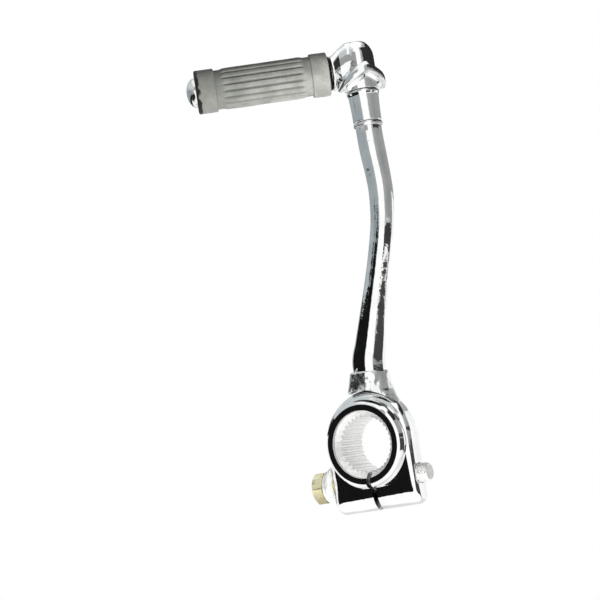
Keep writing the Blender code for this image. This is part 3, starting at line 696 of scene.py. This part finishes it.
def hex_head():
    """Hexagon below Z = 0 with a domed chamfer on its outer face."""
    apothem = HEX_ACROSS_FLATS / 2.0
    sections = []
    for drop, level in ((2.0, 0.0), (0.55, 0.0), (0.3, 0.1), (0.12, 0.3), (0.0, 0.0), (0.0, None)):
        ring = []
        for turn in turns(120):
            inside = (turn + pi / 6.0) % (pi / 3.0) - pi / 6.0
            reach = apothem / cos(inside)
            reach = min(reach, apothem * 1.135)
            height = 0.0
            if level is not None:
                height = -HEAD_HEIGHT + level
                if drop > 0.0:
                    reach = apothem - drop
                else:
                    height = -HEAD_HEIGHT + 0.5 + 0.75 * (reach - apothem)
            ring.append((reach * cos(turn), reach * sin(turn), height))
        sections.append(ring)
    return loft(sections)


def threaded_shank(length, thread):
    """Shank from Z = 0 up, plain at first and threaded over its last part."""
    rise = THREAD_PITCH / 12
    start = length - thread
    levels = [-1.0, start - 1.0, start - 0.3]
    levels += [start + rise * i for i in range(int(thread / rise))] + [length]
    sections = []
    for level in levels:
        ring = []
        for turn in turns(60):
            phase = (level / THREAD_PITCH - turn / (2.0 * pi)) % 1.0
            depth = unit((abs(phase - 0.5) * 2.0 - 0.12) / 0.72) if level >= start else 0.0
            fade = unit((level - start) / 2.0)
            worn = max(0.0, level - (length - 0.9)) * 0.85
            radius = BOLT_R - max(THREAD_DEPTH * depth * fade, worn)
            ring.append((radius * cos(turn), radius * sin(turn), level))
        sections.append(ring)
    return loft(sections)


def split_ring(inner, outer, thickness):
    """Spring washer: a slightly twisted ring with a gap."""
    corners = rounded([(inner, 0.0), (outer, 0.0), (outer, thickness), (inner, thickness)], 0.22, steps=3)
    sections = []
    steps = 120
    for i in range(steps + 1):
        turn = radians(8.0) + radians(344.0) * i / steps
        across = Vector((cos(turn), sin(turn), 0.0))
        skew = Vector((-sin(turn), cos(turn), 0.0)) * 0.5
        section = []
        for radius, level in corners:
            twist = skew * (2.0 * level / thickness - 1.0)
            section.append(across * radius + twist + Vector((0.0, 0.0, level)))
        sections.append(section)
    return loft(sections)


# ==== arm ====

def arm_stations(steps=12):
    """Centre and radius of each section: straight root, smooth bends, rounded top end."""
    stations = [(Vector(ROOT_POINT).lerp(Vector(ROOT_TOP), i / 6.0), ROOT_R) for i in range(7)]
    knots = [Vector((*ROOT_POINT, ROOT_R)), Vector((*ROOT_TOP, ROOT_R))]
    knots += [Vector(knot) for knot in ARM_PATH]
    knots.append(Vector((HEAD_X, ARM_TOP_Z + 4.0, ARM_UPPER_R)))
    for i in range(1, len(knots) - 2):
        before, start, end, after = knots[i - 1:i + 3]
        for k in range(1, steps + 1):
            share = k / steps
            pull_in = (end - before) * 0.5
            pull_out = (after - start) * 0.5
            point = start.lerp(end, ease(share))
            point += pull_in * (share * (1.0 - share) ** 2) - pull_out * (share ** 2 * (1.0 - share))
            stations.append((Vector((point.x, point.y)), point.z))
    for inset, drop in ((0.0, 0.8), (0.06, 0.5), (0.2, 0.25), (0.5, 0.06), (0.9, 0.0)):
        stations.append((Vector((HEAD_X, ARM_TOP_Z - drop)), ARM_UPPER_R - inset))
    return stations


def arm_mesh():
    stations = arm_stations()
    sections = []
    last = len(stations) - 1
    for i, (point, radius) in enumerate(stations):
        way = (stations[min(i + 1, last)][0] - stations[max(i - 1, 0)][0]).normalized()
        if i <= 6:
            way = (Vector(ROOT_TOP) - Vector(ROOT_POINT)).normalized()
        if i >= last - 6:
            way = Vector((0.0, 1.0))
        across = Vector((way.y, -way.x))
        ring = []
        for turn in turns(96):
            side = across * radius * cos(turn)
            ring.append((point.x + side.x, ARM_Y + radius * sin(turn), point.y + side.y))
        sections.append(ring)
    pocket = at_head(lathe([(ARM_POCKET_R, ARM_POCKET_Z), (ARM_POCKET_R, ARM_TOP_Z + 1.0)], 64, False))
    return loft(sections), (cut(arch_clearance()), cut(pocket))


def weld_mesh():
    """Weld bead round the root: overlapping ripples, uneven height, trimmed to the arch."""
    way = Vector(ROOT_TOP) - Vector(ROOT_POINT)
    inner = ROOT_R + FIT
    left_side = rounded([(left, height) for height, left, right in WELD_PROFILE], 0.8, steps=4)
    right_side = rounded([(right, height) for height, left, right in WELD_PROFILE], 0.8, steps=4)
    sections = []
    for (left, left_height), (right, right_height) in zip(left_side, right_side):
        ring = []
        for turn in turns(220):
            share = (1.0 + cos(turn)) / 2.0
            reach = left + (right - left) * share
            height = left_height + (right_height - left_height) * share
            squeeze = 1.0 - 0.5 * sin(turn) ** 2
            ripple = 0.12 * abs(sin(9.0 * turn + height * 0.8))
            lump = 0.20 * noise.noise(Vector((cos(turn) * 3.0, sin(turn) * 3.0, height * 0.4)))
            radius = inner + max(reach * squeeze * (1.0 + lump) - ripple * min(reach, 1.0), 0.0)
            ring.append((radius * cos(turn), radius * sin(turn), height + lump * min(reach, 1.0)))
        sections.append(ring)
    bead = loft(sections, loop=True)
    along_axis(bead, (way.x, 0.0, way.y), (ROOT_POINT[0], ARM_Y, ROOT_POINT[1]))
    bmesh.ops.triangulate(bead, faces=bead.faces)
    hub = lathe([(HUB_BACK_R + FIT, 0.0), (HUB_BACK_R + FIT, 10.0)], 120, False)
    along_axis(hub, (0.0, 1.0, 0.0), (0.0, ARCH_BACK_Y - 1.0, 0.0))
    return bead, (cut(arch_clearance()), cut(hub))


# ==== folding head ====

def cam_height(azimuth, ridge_land, valley_land):
    """Height of the roof-shaped cam, with a level land on its ridges or in its valleys."""
    apart = abs((azimuth - CAM_RIDGE_AZIMUTH + pi / 2.0) % pi - pi / 2.0)
    apart = min(max(apart, ridge_land), pi / 2.0 - valley_land)
    return CAM_RIDGE_Z - CAM_DROP * apart / (pi / 2.0)


def collar_mesh():
    """Collar with the cam face on top, a bevelled rim and a filleted foot."""
    sections = []
    for turn in turns(CAM_STEPS):
        azimuth = CAM_RIDGE_AZIMUTH + turn
        out = azimuth_direction(azimuth)
        top = cam_height(azimuth, CAM_LAND, 0.0)
        low = max(top - CAM_WING, CAM_FOOT_Z + 0.3)
        fillet = min(CAM_FILLET, low - CAM_FOOT_Z - 0.15)
        profile = rounded([(CAM_BORE_R, top, 0.2), (CAM_R - CAM_TOP_CHAMFER, top, 0.5),
                           (CAM_R, top - CAM_TOP_CHAMFER, 0.5), (CAM_R, low, 0.6),
                           (CAM_FOOT_R + fillet, low, 1.2), (CAM_FOOT_R, low - fillet, 1.2),
                           (CAM_FOOT_R, CAM_FOOT_Z, 0.4), (CAM_BORE_R, CAM_FOOT_Z, 0.2)], 0.3, steps=5)
        sections.append([(out.x * radius, out.y * radius, height) for radius, height in profile])
    return at_head(loft(sections, loop=True))


def cam_clearance():
    """Cutter for the knuckle: everything below the cam face, and the pin's bore."""
    sections = [[], [], [], []]
    for turn in turns(CAM_STEPS):
        azimuth = CAM_RIDGE_AZIMUTH + turn + 0.37 * 2.0 * pi / CAM_STEPS
        out = azimuth_direction(azimuth)
        height = cam_height(azimuth, 0.0, CAM_LAND) + FIT
        corners = ((PIN_BORE_R, PIN_TOP_Z + FIT), (PIN_BORE_R, height), (CAM_R + FIT, height),
                   (CAM_R + FIT, 120.0))
        for section, (radius, level) in zip(sections, corners):
            section.append((out.x * radius, out.y * radius, level))
    mesh = loft(sections)
    bmesh.ops.triangulate(mesh, faces=mesh.faces)
    return at_head(mesh)


def neck_mesh():
    """Neck between the knuckle and the pedal flange, as a smooth run of sections along +X."""
    knots = (*NECK_PATH, (FLANGE_AT - 0.9, PEDAL_Z, FLANGE_R, FLANGE_R))
    stations = []
    for start, end in zip(knots, knots[1:]):
        for k in range(8):
            share = k / 8.0
            stations.append([a + (b - a) * share for a, b in zip(start, end)])
    for inset, back in ((0.0, 0.9), (0.0, 0.5), (0.06, 0.25), (0.2, 0.08), (0.5, 0.0)):
        stations.append([FLANGE_AT - back, PEDAL_Z, FLANGE_R - inset, FLANGE_R - inset])
    sections = [[(out, half_width * cos(turn), height + half_height * sin(turn)) for turn in turns(112)]
                for out, height, half_width, half_height in stations]
    return turn_to_pedal(loft(sections))


def knuckle_mesh():
    """Domed knuckle with its neck and peg, cut out over the cam and drilled for the cross pin."""
    dome = rounded([(KNUCKLE_R, 149.0), *KNUCKLE_CROWN], 1.4, False, 4)
    forging = at_head(lathe(dome, 144, False))
    peg_side = [(PEG_R, 3.4), (PEG_R, PEG_END - 0.6), (PEG_R - 0.6, PEG_END), (SCREW_HOLE_R, PEG_END),
                (SCREW_HOLE_R, PEG_END - 8.0)]
    peg = pedal_lathe(rounded(peg_side, 0.2, False), 64, False)
    way = azimuth_direction(CROSS_PIN_AZIMUTH)
    cross = along_axis(lathe([(CROSS_PIN_R + 0.12, -12.0), (CROSS_PIN_R + 0.12, 12.0)], 40, False), way,
                       (HEAD_X, ARM_Y, CROSS_PIN_Z))
    return forging, (join(neck_mesh()), join(peg), cut(cam_clearance()), cut(cross))


def spring_mesh():
    """Compression spring with closed end turns, wound upwards round the fold axis."""
    low, high = SPRING_BOX
    bottom = low.z + SPRING_WIRE_R
    rise = high.z - low.z - 2.0 * SPRING_WIRE_R
    steps = int(SPRING_TURNS * 48)
    closed = 2.0 * SPRING_WIRE_R * 1.05
    sections = []
    for i in range(steps + 1):
        wound = SPRING_TURNS * i / steps
        open_turns = SPRING_TURNS - 2.0
        inner = min(max(wound - 1.0, 0.0), open_turns)
        height = bottom + closed * min(wound, 1.0) + (rise - 2.0 * closed) * inner / open_turns
        height += closed * max(wound - 1.0 - open_turns, 0.0)
        out = azimuth_direction(2.0 * pi * wound)
        ring = []
        for bend in turns(16):
            reach = SPRING_MEAN_R + SPRING_WIRE_R * cos(bend)
            ring.append((out.x * reach, out.y * reach, height + SPRING_WIRE_R * sin(bend)))
        sections.append(ring)
    return at_head(loft(sections))


def sleeve_mesh():
    """Rubber sleeve: end bands with soft corners, smooth necks, rounded lengthwise ribs."""
    start, end = SLEEVE
    per_rib = 14
    count = RIBS * per_rib
    neck = BODY_R - 0.35
    floor = end - RECESS_DEPTH - END_WASHER
    outside = [(start, RECESS_R - 1.0, 0.2), (start, BAND_R, 0.7), (start + 7.2, BAND_R, 0.45),
               (start + 7.45, neck, 0.3), (start + 10.0, neck, 2.0), (start + 11.6, BODY_R, 2.0),
               ((start + end) / 2.0, BODY_R, 0.0), (end - 12.2, BODY_R, 2.0), (end - 10.6, neck, 2.0),
               (end - 8.3, neck, 0.3), (end - 8.05, BAND_R, 0.45), (end, BAND_R, 0.7), (end, RECESS_R, 0.3),
               (floor, RECESS_R, 0.3), (floor, SLEEVE_BORE_R, 0.1), (start, SLEEVE_BORE_R, 0.2)]
    profile = rounded(outside, 0.3, steps=5)
    dense = []
    for a, b in zip(profile, profile[1:] + profile[:1]):
        dense.append(a)
        parts = int(abs(b[0] - a[0]) / 1.5)
        for k in range(1, parts):
            share = k / parts
            dense.append((a[0] + (b[0] - a[0]) * share, a[1] + (b[1] - a[1]) * share))
    sections = []
    for out, radius in dense:
        near = min(out - (start + 10.4), (end - 11.0) - out)
        outer = radius > neck - 0.5
        grooved = ease(unit(near / 1.6)) if outer else 0.0
        ring = []
        for k, turn in enumerate(turns(count)):
            phase = abs((k % per_rib) / per_rib - 0.5) * 2.0
            dip = ease(max(0.0, (phase - 0.5) / 0.5))
            crown = 0.10 * (1.0 - phase * phase)
            wobble = 0.10 * noise.noise(Vector((out * 0.16, cos(turn) * 1.4, sin(turn) * 1.4)))
            reach = radius + (wobble if outer else 0.0) + (crown - GROOVE_DEPTH * dip) * grooved
            ring.append((out, reach * cos(turn), PEDAL_Z + reach * sin(turn)))
        sections.append(ring)
    return turn_to_pedal(loft(sections, loop=True))


# ==== assembly ====

KEPT_NODES = {"pivot_bush": "bronze", "spring_top_washer": "steel", "spring_seat": "steel",
              "pin_nut": "steel", "pivot_pin": "steel"}


def build_surfaces():
    plate = ((0.95, 0.95, 0.94), (0.82, 0.83, 0.83))
    fold = Vector((HEAD_X, ARM_Y, PEDAL_Z)) * MM
    return {
        "chrome": plated("chrome plate", *plate, 0.05, 0.004, 0.20),
        "clamp": machined(plated("chrome clamp", *plate, 0.045, 0.003, 0.13)),
        "weld": plated("plated weld", (0.96, 0.96, 0.95), (0.78, 0.79, 0.79), 0.16, 0.02, 0.45, 0.5),
        "steel": turned_metal("turned steel", (0.62, 0.62, 0.61), (0.42, 0.42, 0.43), 0.28),
        "bright": turned_metal("bright screw", (0.92, 0.92, 0.90), (0.72, 0.72, 0.71), 0.12),
        "spring": turned_metal("spring steel", (0.34, 0.34, 0.35), (0.20, 0.20, 0.21), 0.34),
        "bronze": turned_metal("bronze bush", (0.62, 0.43, 0.22), (0.42, 0.28, 0.15), 0.34),
        "zinc": turned_metal("grey zinc", (0.95, 0.95, 0.93), (0.84, 0.84, 0.82), 0.40, metallic=0.45),
        "yellow": bolt_material("yellow zinc", (0.95, 0.90, 0.66), (0.82, 0.75, 0.46), (0.70, 0.72, 0.50),
                                (0.93, 0.93, 0.91)),
        # near-black rings at both ends of the sleeve stand in for the shadow in the gaps there: painted
        # shadow
        "black": turned_metal("black ring", (0.018, 0.018, 0.018), (0.010, 0.010, 0.010), 0.42),
        "rubber": rubber_material("grey rubber", (0.43, 0.435, 0.41), (0.27, 0.275, 0.255), fold,
                                  azimuth_direction(PEDAL_AZIMUTH)),
    }


def build_arm_pieces(looks):
    mesh, steps = clamp_mesh()
    piece("clamp_boss", mesh, looks["clamp"], "lever", steps=steps)
    mesh, steps = arm_mesh()
    piece("arm_bar", mesh, looks["chrome"], "lever", 50.0, steps)
    mesh, steps = weld_mesh()
    piece("root_weld", mesh, looks["weld"], "lever", 60.0, steps)


def on_bolt(mesh, x):
    return along_axis(mesh, (1.0, 0.0, 0.0), (x, BOLT_Y, BOLT_Z))


def build_bolt_pieces(looks):
    seat = BOLT_START_X + HEAD_HEIGHT
    shank = on_bolt(threaded_shank(BOLT_END_X - seat, THREAD_LENGTH), seat)
    piece("pinch_bolt", on_bolt(hex_head(), seat), looks["yellow"], "lever", 38.0,
          (join(shank),))
    low, high = size_of("plain_washer")
    radius, thickness = (high.z - low.z) / 2.0, high.x - low.x
    plain = rounded([(BOLT_HOLE_R, 0.0), (radius, 0.0), (radius, thickness), (BOLT_HOLE_R, thickness)], 0.3)
    piece("plain_washer", on_bolt(lathe(plain), low.x), looks["zinc"], "lever")
    low, high = size_of("lock_washer")
    ring = split_ring(BOLT_HOLE_R, (high.z - low.z) / 2.0, high.x - low.x)
    piece("lock_washer", on_bolt(ring, low.x), looks["zinc"], "lever")


def build_head_pieces(looks):
    low, high = HOUSING_Z
    lip = HOUSING_FLARE_R - 0.2
    housing = rounded([(HOUSING_BORE_R, low), (HOUSING_R, low, 0.6), (HOUSING_R + 0.05, high - 9.0, 6.0),
                       (HOUSING_R + 0.4, high - 2.0, 2.0), (lip, high - 1.0, 0.6), (lip, high, 0.4),
                       (HOUSING_BORE_R, high)], 0.2)
    piece("spring_housing", at_head(lathe(housing)), looks["chrome"], "lever")
    inner = ARM_UPPER_R + FIT
    middle = low - FIT - 0.8
    bead = [(inner + 0.2 + 0.2 * cos(turn), middle + 0.8 * sin(turn)) for turn in turns(16)]
    piece("upper_weld_ring", at_head(lathe(bead)), looks["weld"], "lever", 60.0)
    piece("cam_collar", collar_mesh(), looks["chrome"], "lever")

    coil = piece("detent_spring", spring_mesh(), looks["spring"], "lever", 60.0)
    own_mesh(coil)


def build_pedal_pieces(looks):
    mesh, steps = knuckle_mesh()
    piece("pedal_knuckle", mesh, looks["chrome"], "pedal", steps=steps)
    half = KNUCKLE_R + 0.1
    cross = rounded([(0.0, -half), (CROSS_PIN_R, -half, 0.3), (CROSS_PIN_R, half, 0.3), (0.0, half)],
                    0.3, False)
    mesh = along_axis(lathe(cross[1:-1], 40, False), azimuth_direction(CROSS_PIN_AZIMUTH),
                      (HEAD_X, ARM_Y, CROSS_PIN_Z))
    piece("cross_pin", mesh, looks["steel"], "pedal")
    piece("rubber_sleeve", sleeve_mesh(), looks["rubber"], "pedal", 60.0)
    # the near-black inner ring and end washer are painted shadow in the gaps beside the sleeve
    piece("inner_ring", flat_ring(SLEEVE_BORE_R, INNER_RING_R, FLANGE_AT + FIT, SLEEVE[0] - FIT, 0.2),
          looks["black"], "pedal")
    seat = PEG_END + FIT
    piece("end_washer", flat_ring(SCREW_HOLE_R, RECESS_R - FIT, seat, seat + END_WASHER, 0.25),
          looks["black"], "pedal")
    head = seat + END_WASHER + FIT
    brim = 1.2
    screw = [(2.0, PEG_END - 6.0), (2.0, head), (SCREW_HEAD_R - 0.2, head), (SCREW_HEAD_R, head + 0.25)]
    for i in range(20):
        turn = radians(4.3 * i)
        rise = (SCREW_HEAD_HEIGHT - brim) * sin(turn)
        screw.append((SCREW_HEAD_R * cos(turn), head + brim + rise))
    piece("end_screw", pedal_lathe(screw, 96, False), looks["bright"], "pedal", 40.0)


def flat_ring(inner, outer, start, end, edge):
    return pedal_lathe(rounded([(inner, start), (outer, start), (outer, end), (inner, end)], edge))


def dress_kept_nodes(looks):
    """Give the CAD nodes that stay in the scene a material and smooth round faces."""
    smooth = smoothing_group()
    for node, surface in KEPT_NODES.items():
        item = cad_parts[node]
        for place in item.material_slots:
            place.material = looks[surface]
        item.modifiers.new("smooth", "NODES").node_group = smooth


def smoothing_group():
    """Geometry nodes that weld a CAD node's triangles and smooth all but its real edges."""
    group = bpy.data.node_groups.new("smooth by angle", "GeometryNodeTree")
    group.interface.new_socket("Geometry", in_out="INPUT", socket_type="NodeSocketGeometry")
    group.interface.new_socket("Geometry", in_out="OUTPUT", socket_type="NodeSocketGeometry")
    graph = Graph(group)
    start = graph.add("NodeGroupInput").outputs[0]
    end = graph.add("NodeGroupOutput")
    bare = graph.add("GeometryNodeRemoveAttribute", {0: start, "Name": "custom_normal"}).outputs[0]
    joined = graph.add("GeometryNodeMergeByDistance", {0: bare, "Distance": 1.0e-6}).outputs[0]
    angle = graph.add("GeometryNodeInputMeshEdgeAngle").outputs["Unsigned Angle"]
    soft = graph.add("FunctionNodeCompare", {0: angle, 1: radians(35.0)}, operation="LESS_THAN")
    faces = graph.add("GeometryNodeSetShadeSmooth", {0: joined, "Shade Smooth": True}, domain="FACE")
    edges = graph.add("GeometryNodeSetShadeSmooth", {0: faces.outputs[0], "Shade Smooth": soft.outputs[0]},
                      domain="EDGE")
    graph.set(end, 0, edges.outputs[0])
    return group


# ==== studio ====

FLOOR_Z = ARCH_BOTTOM_Z - 72.0
FLOOR_CLEAR_R = 0.20
FLOOR_FADE_R = 0.34


def build_floor():
    """Pale round floor that fades away into the white surroundings."""
    sections = [(0.4, 0.0)] + [(600.0 * i / 24, 0.0) for i in range(1, 25)] + [(600.0, -1.0), (0.4, -1.0)]
    item = solid("studio_floor", lathe(sections, 96))
    item.location = (0.0, 0.0, FLOOR_Z * MM)
    made, graph, shader, place = new_material("pale floor", 0.0, Specular_IOR_Level=0.0, Roughness=0.8,
                                              Emission_Strength=0.55, Emission_Color=grey(1.0))
    graph.set(shader, "Base Color", graph.mix(graph.noise(place, 40.0), grey(0.90), grey(0.94)))
    graph.set(shader, "Alpha", graph.remap(graph.length(place), FLOOR_CLEAR_R, FLOOR_FADE_R, 1.0, 0.0))
    item.data.materials.append(made)
    item.visible_glossy = False
    item.visible_shadow = False


# reflected studio: azimuth from -Y towards +X in degrees, colour near the horizon, colour half way up
BRIGHT = (1.15, 1.15, 1.14)
HORIZON = ((-180.0, (0.36, 0.38, 0.39), (0.50, 0.52, 0.53)), (-152.0, (0.36, 0.40, 0.42), (0.62, 0.66, 0.68)),
           (-20.0, (0.36, 0.40, 0.42), (0.62, 0.66, 0.68)), (-3.0, (0.40, 0.44, 0.46), (0.60, 0.63, 0.64)),
           (4.0, BRIGHT, BRIGHT), (50.0, BRIGHT, BRIGHT),
           (57.0, (0.42, 0.43, 0.43), (0.50, 0.51, 0.51)), (95.0, (0.30, 0.31, 0.31), (0.36, 0.37, 0.37)),
           (140.0, (0.34, 0.35, 0.35), (0.40, 0.41, 0.41)), (172.0, (0.36, 0.37, 0.37), (0.45, 0.46, 0.46)))
OVERHEAD = (*BRIGHT, 1.0)
GROUND_BEHIND = (0.78, 0.785, 0.79, 1.0)
RISES = (12.0, 24.0, 54.0, 66.0)   # degrees up where the walls change and where the overhead starts
FILL_TOP = (0.09, 0.09, 0.09, 1.0)
FILL_LOW = (0.28, 0.28, 0.27, 1.0)


def horizon_ramp(graph, share, band):
    node = graph.add("ShaderNodeValToRGB", {0: share})
    stops = node.color_ramp.elements
    stops[0].position = 0.0
    stops[1].position = 1.0
    for degrees, *colours in HORIZON[1:]:
        stops.new(degrees / 360.0 + 0.5)
    for stop, (degrees, *colours) in zip(stops, (*HORIZON, HORIZON[0])):
        stop.color = (*colours[band], 1.0)
    return node.outputs[0]


def build_world():
    """Light tent seen in reflections: grey walls with one bright gap, bright overhead and floor.

    Diffuse surfaces get an even fill instead, and the camera sees plain white.
    """
    world = bpy.data.worlds.new("studio")
    bpy.context.scene.world = world
    world.use_nodes = True
    graph = Graph(world.node_tree)
    surface = world.node_tree.nodes["Background"]
    way = graph.parts(graph.add("ShaderNodeTexCoord").outputs["Generated"])
    turn = graph.math("ARCTAN2", way["X"], graph.times(way["Y"], -1.0))
    share = graph.plus(graph.times(turn, 1.0 / (2.0 * pi)), 0.5)
    wall_low, wall_high, roof_low, roof_high = (sin(radians(angle)) for angle in RISES)
    studio = graph.mix(graph.remap(way["Z"], wall_low, wall_high), horizon_ramp(graph, share, 0),
                       horizon_ramp(graph, share, 1))
    studio = graph.mix(graph.remap(way["Z"], roof_low, roof_high), studio, OVERHEAD)
    below = graph.remap(way["Z"], -0.25, -0.12, 1.0, 0.0)
    ground = graph.mix(graph.remap(way["Y"], 0.0, 0.35), OVERHEAD, GROUND_BEHIND)
    studio = graph.mix(below, studio, ground)
    fill = graph.mix(graph.remap(way["Z"], -0.6, 0.7), FILL_LOW, FILL_TOP)
    rays = graph.add("ShaderNodeLightPath").outputs
    studio = graph.mix(rays["Is Diffuse Ray"], studio, fill)
    graph.set(surface, "Color", graph.mix(rays["Is Camera Ray"], studio, grey(1.0)))
    surface.inputs["Strength"].default_value = 1.0


CARD_R = 250.0
CARD_STEPS = 48
# curved studio cards seen only in reflections: name, azimuth range, Z range, brightness
CARDS = (("card_front", (-62.0, -36.0), (-100.0, 136.0), 0.008),
         ("card_inner", (-36.0, -10.0), (-100.0, 118.0), 0.008),
         ("card_edge", (-10.0, 2.0), (-100.0, 100.0), 0.008),
         ("card_left", (-112.0, -62.0), (54.0, 136.0), 0.008),
         ("card_left_white", (-150.0, -62.0), (-100.0, 54.0), 1.05),
         ("card_right_low", (56.0, 134.0), (-100.0, 2.0), 0.06),
         ("card_right", (56.0, 134.0), (13.0, 46.0), 0.05),
         ("card_right_white", (136.0, 209.0), (-100.0, 118.0), 1.05),
         ("card_head", (70.0, 200.0), (193.0, 420.0), 0.03),
         ("card_head_grey", (-6.0, 26.0), (190.0, 330.0), 0.38))


def build_cards():
    for name, azimuths, levels, brightness in CARDS:
        mesh = bmesh.new()
        rings = []
        for level in levels:
            ring = []
            for i in range(CARD_STEPS + 1):
                share = i / CARD_STEPS
                out = azimuth_direction(radians(azimuths[0] + (azimuths[1] - azimuths[0]) * share))
                ring.append(mesh.verts.new((out.x * CARD_R, out.y * CARD_R, level)))
            rings.append(ring)
        for i in range(CARD_STEPS):
            mesh.faces.new((rings[0][i], rings[0][i + 1], rings[1][i + 1], rings[1][i]))
        item = solid(name, mesh)
        made = new_material(name, 0.0, Base_Color=grey(0.0), Specular_IOR_Level=0.0,
                            Emission_Color=grey(1.0), Emission_Strength=brightness)
        item.data.materials.append(made[0])
        for ray in ("camera", "diffuse", "shadow", "transmission", "volume_scatter"):
            setattr(item, "visible_" + ray, False)


# lamps: name, place, aim, size, power
LAMPS = (("light_low", (0.26, -0.33, -0.08), (-0.01, -0.03, 0.155), 0.24, 3.0),
         ("light_top", (-0.25, -0.35, 0.75), (0.0, 0.0, 0.07), 0.7, 0.15),
         ("light_back", (-0.25, 0.45, 0.10), (0.0, 0.0, 0.13), 0.5, 5.0))


def build_light():
    """Soft lights that fill the diffuse looks but leave the reflections alone."""
    for name, place, target, size, power in LAMPS:
        lamp = bpy.data.lights.new(name, "AREA")
        lamp.shape = "DISK"
        lamp.size = size
        lamp.energy = power
        item = bpy.data.objects.new(name, lamp)
        bpy.context.scene.collection.objects.link(item)
        item.location = place
        aim = Vector(target) - Vector(place)
        item.rotation_euler = aim.to_track_quat("-Z", "Y").to_euler()
        item.visible_glossy = False


CAMERA = {"azimuth": 31.37, "elevation": -6.38, "roll": 8.94,
          "distance": 797.6, "side": -22.04, "height": 64.13}
SENSOR = 36.0
FOCAL_LENGTH = 114.282


def build_camera():
    """Camera just below the horizon, rolled, at the product's viewing distance."""
    a = radians(CAMERA["azimuth"])
    e = radians(CAMERA["elevation"])
    roll = radians(CAMERA["roll"])
    back = Vector((sin(a) * cos(e), -cos(a) * cos(e), sin(e)))
    level = Vector((cos(a), sin(a), 0.0))
    upright = back.cross(level)
    right = level * cos(roll) - upright * sin(roll)
    up = level * sin(roll) + upright * cos(roll)
    place = (level * CAMERA["side"] + upright * CAMERA["height"] + back * CAMERA["distance"]) * MM
    lens = bpy.data.cameras.new("camera")
    lens.sensor_width = SENSOR
    lens.lens = FOCAL_LENGTH
    lens.clip_start = 0.01
    lens.clip_end = 20.0
    item = bpy.data.objects.new("camera", lens)
    bpy.context.scene.collection.objects.link(item)
    item.matrix_world = Matrix(((right.x, up.x, back.x, place.x), (right.y, up.y, back.y, place.y),
                                (right.z, up.z, back.z, place.z), (0.0, 0.0, 0.0, 1.0)))
    bpy.context.scene.camera = item


surfaces = build_surfaces()
build_arm_pieces(surfaces)
build_bolt_pieces(surfaces)
build_head_pieces(surfaces)
build_pedal_pieces(surfaces)
dress_kept_nodes(surfaces)
build_floor()
build_world()
build_cards()
build_light()
build_camera()
bpy.context.scene.view_settings.view_transform = "Standard"
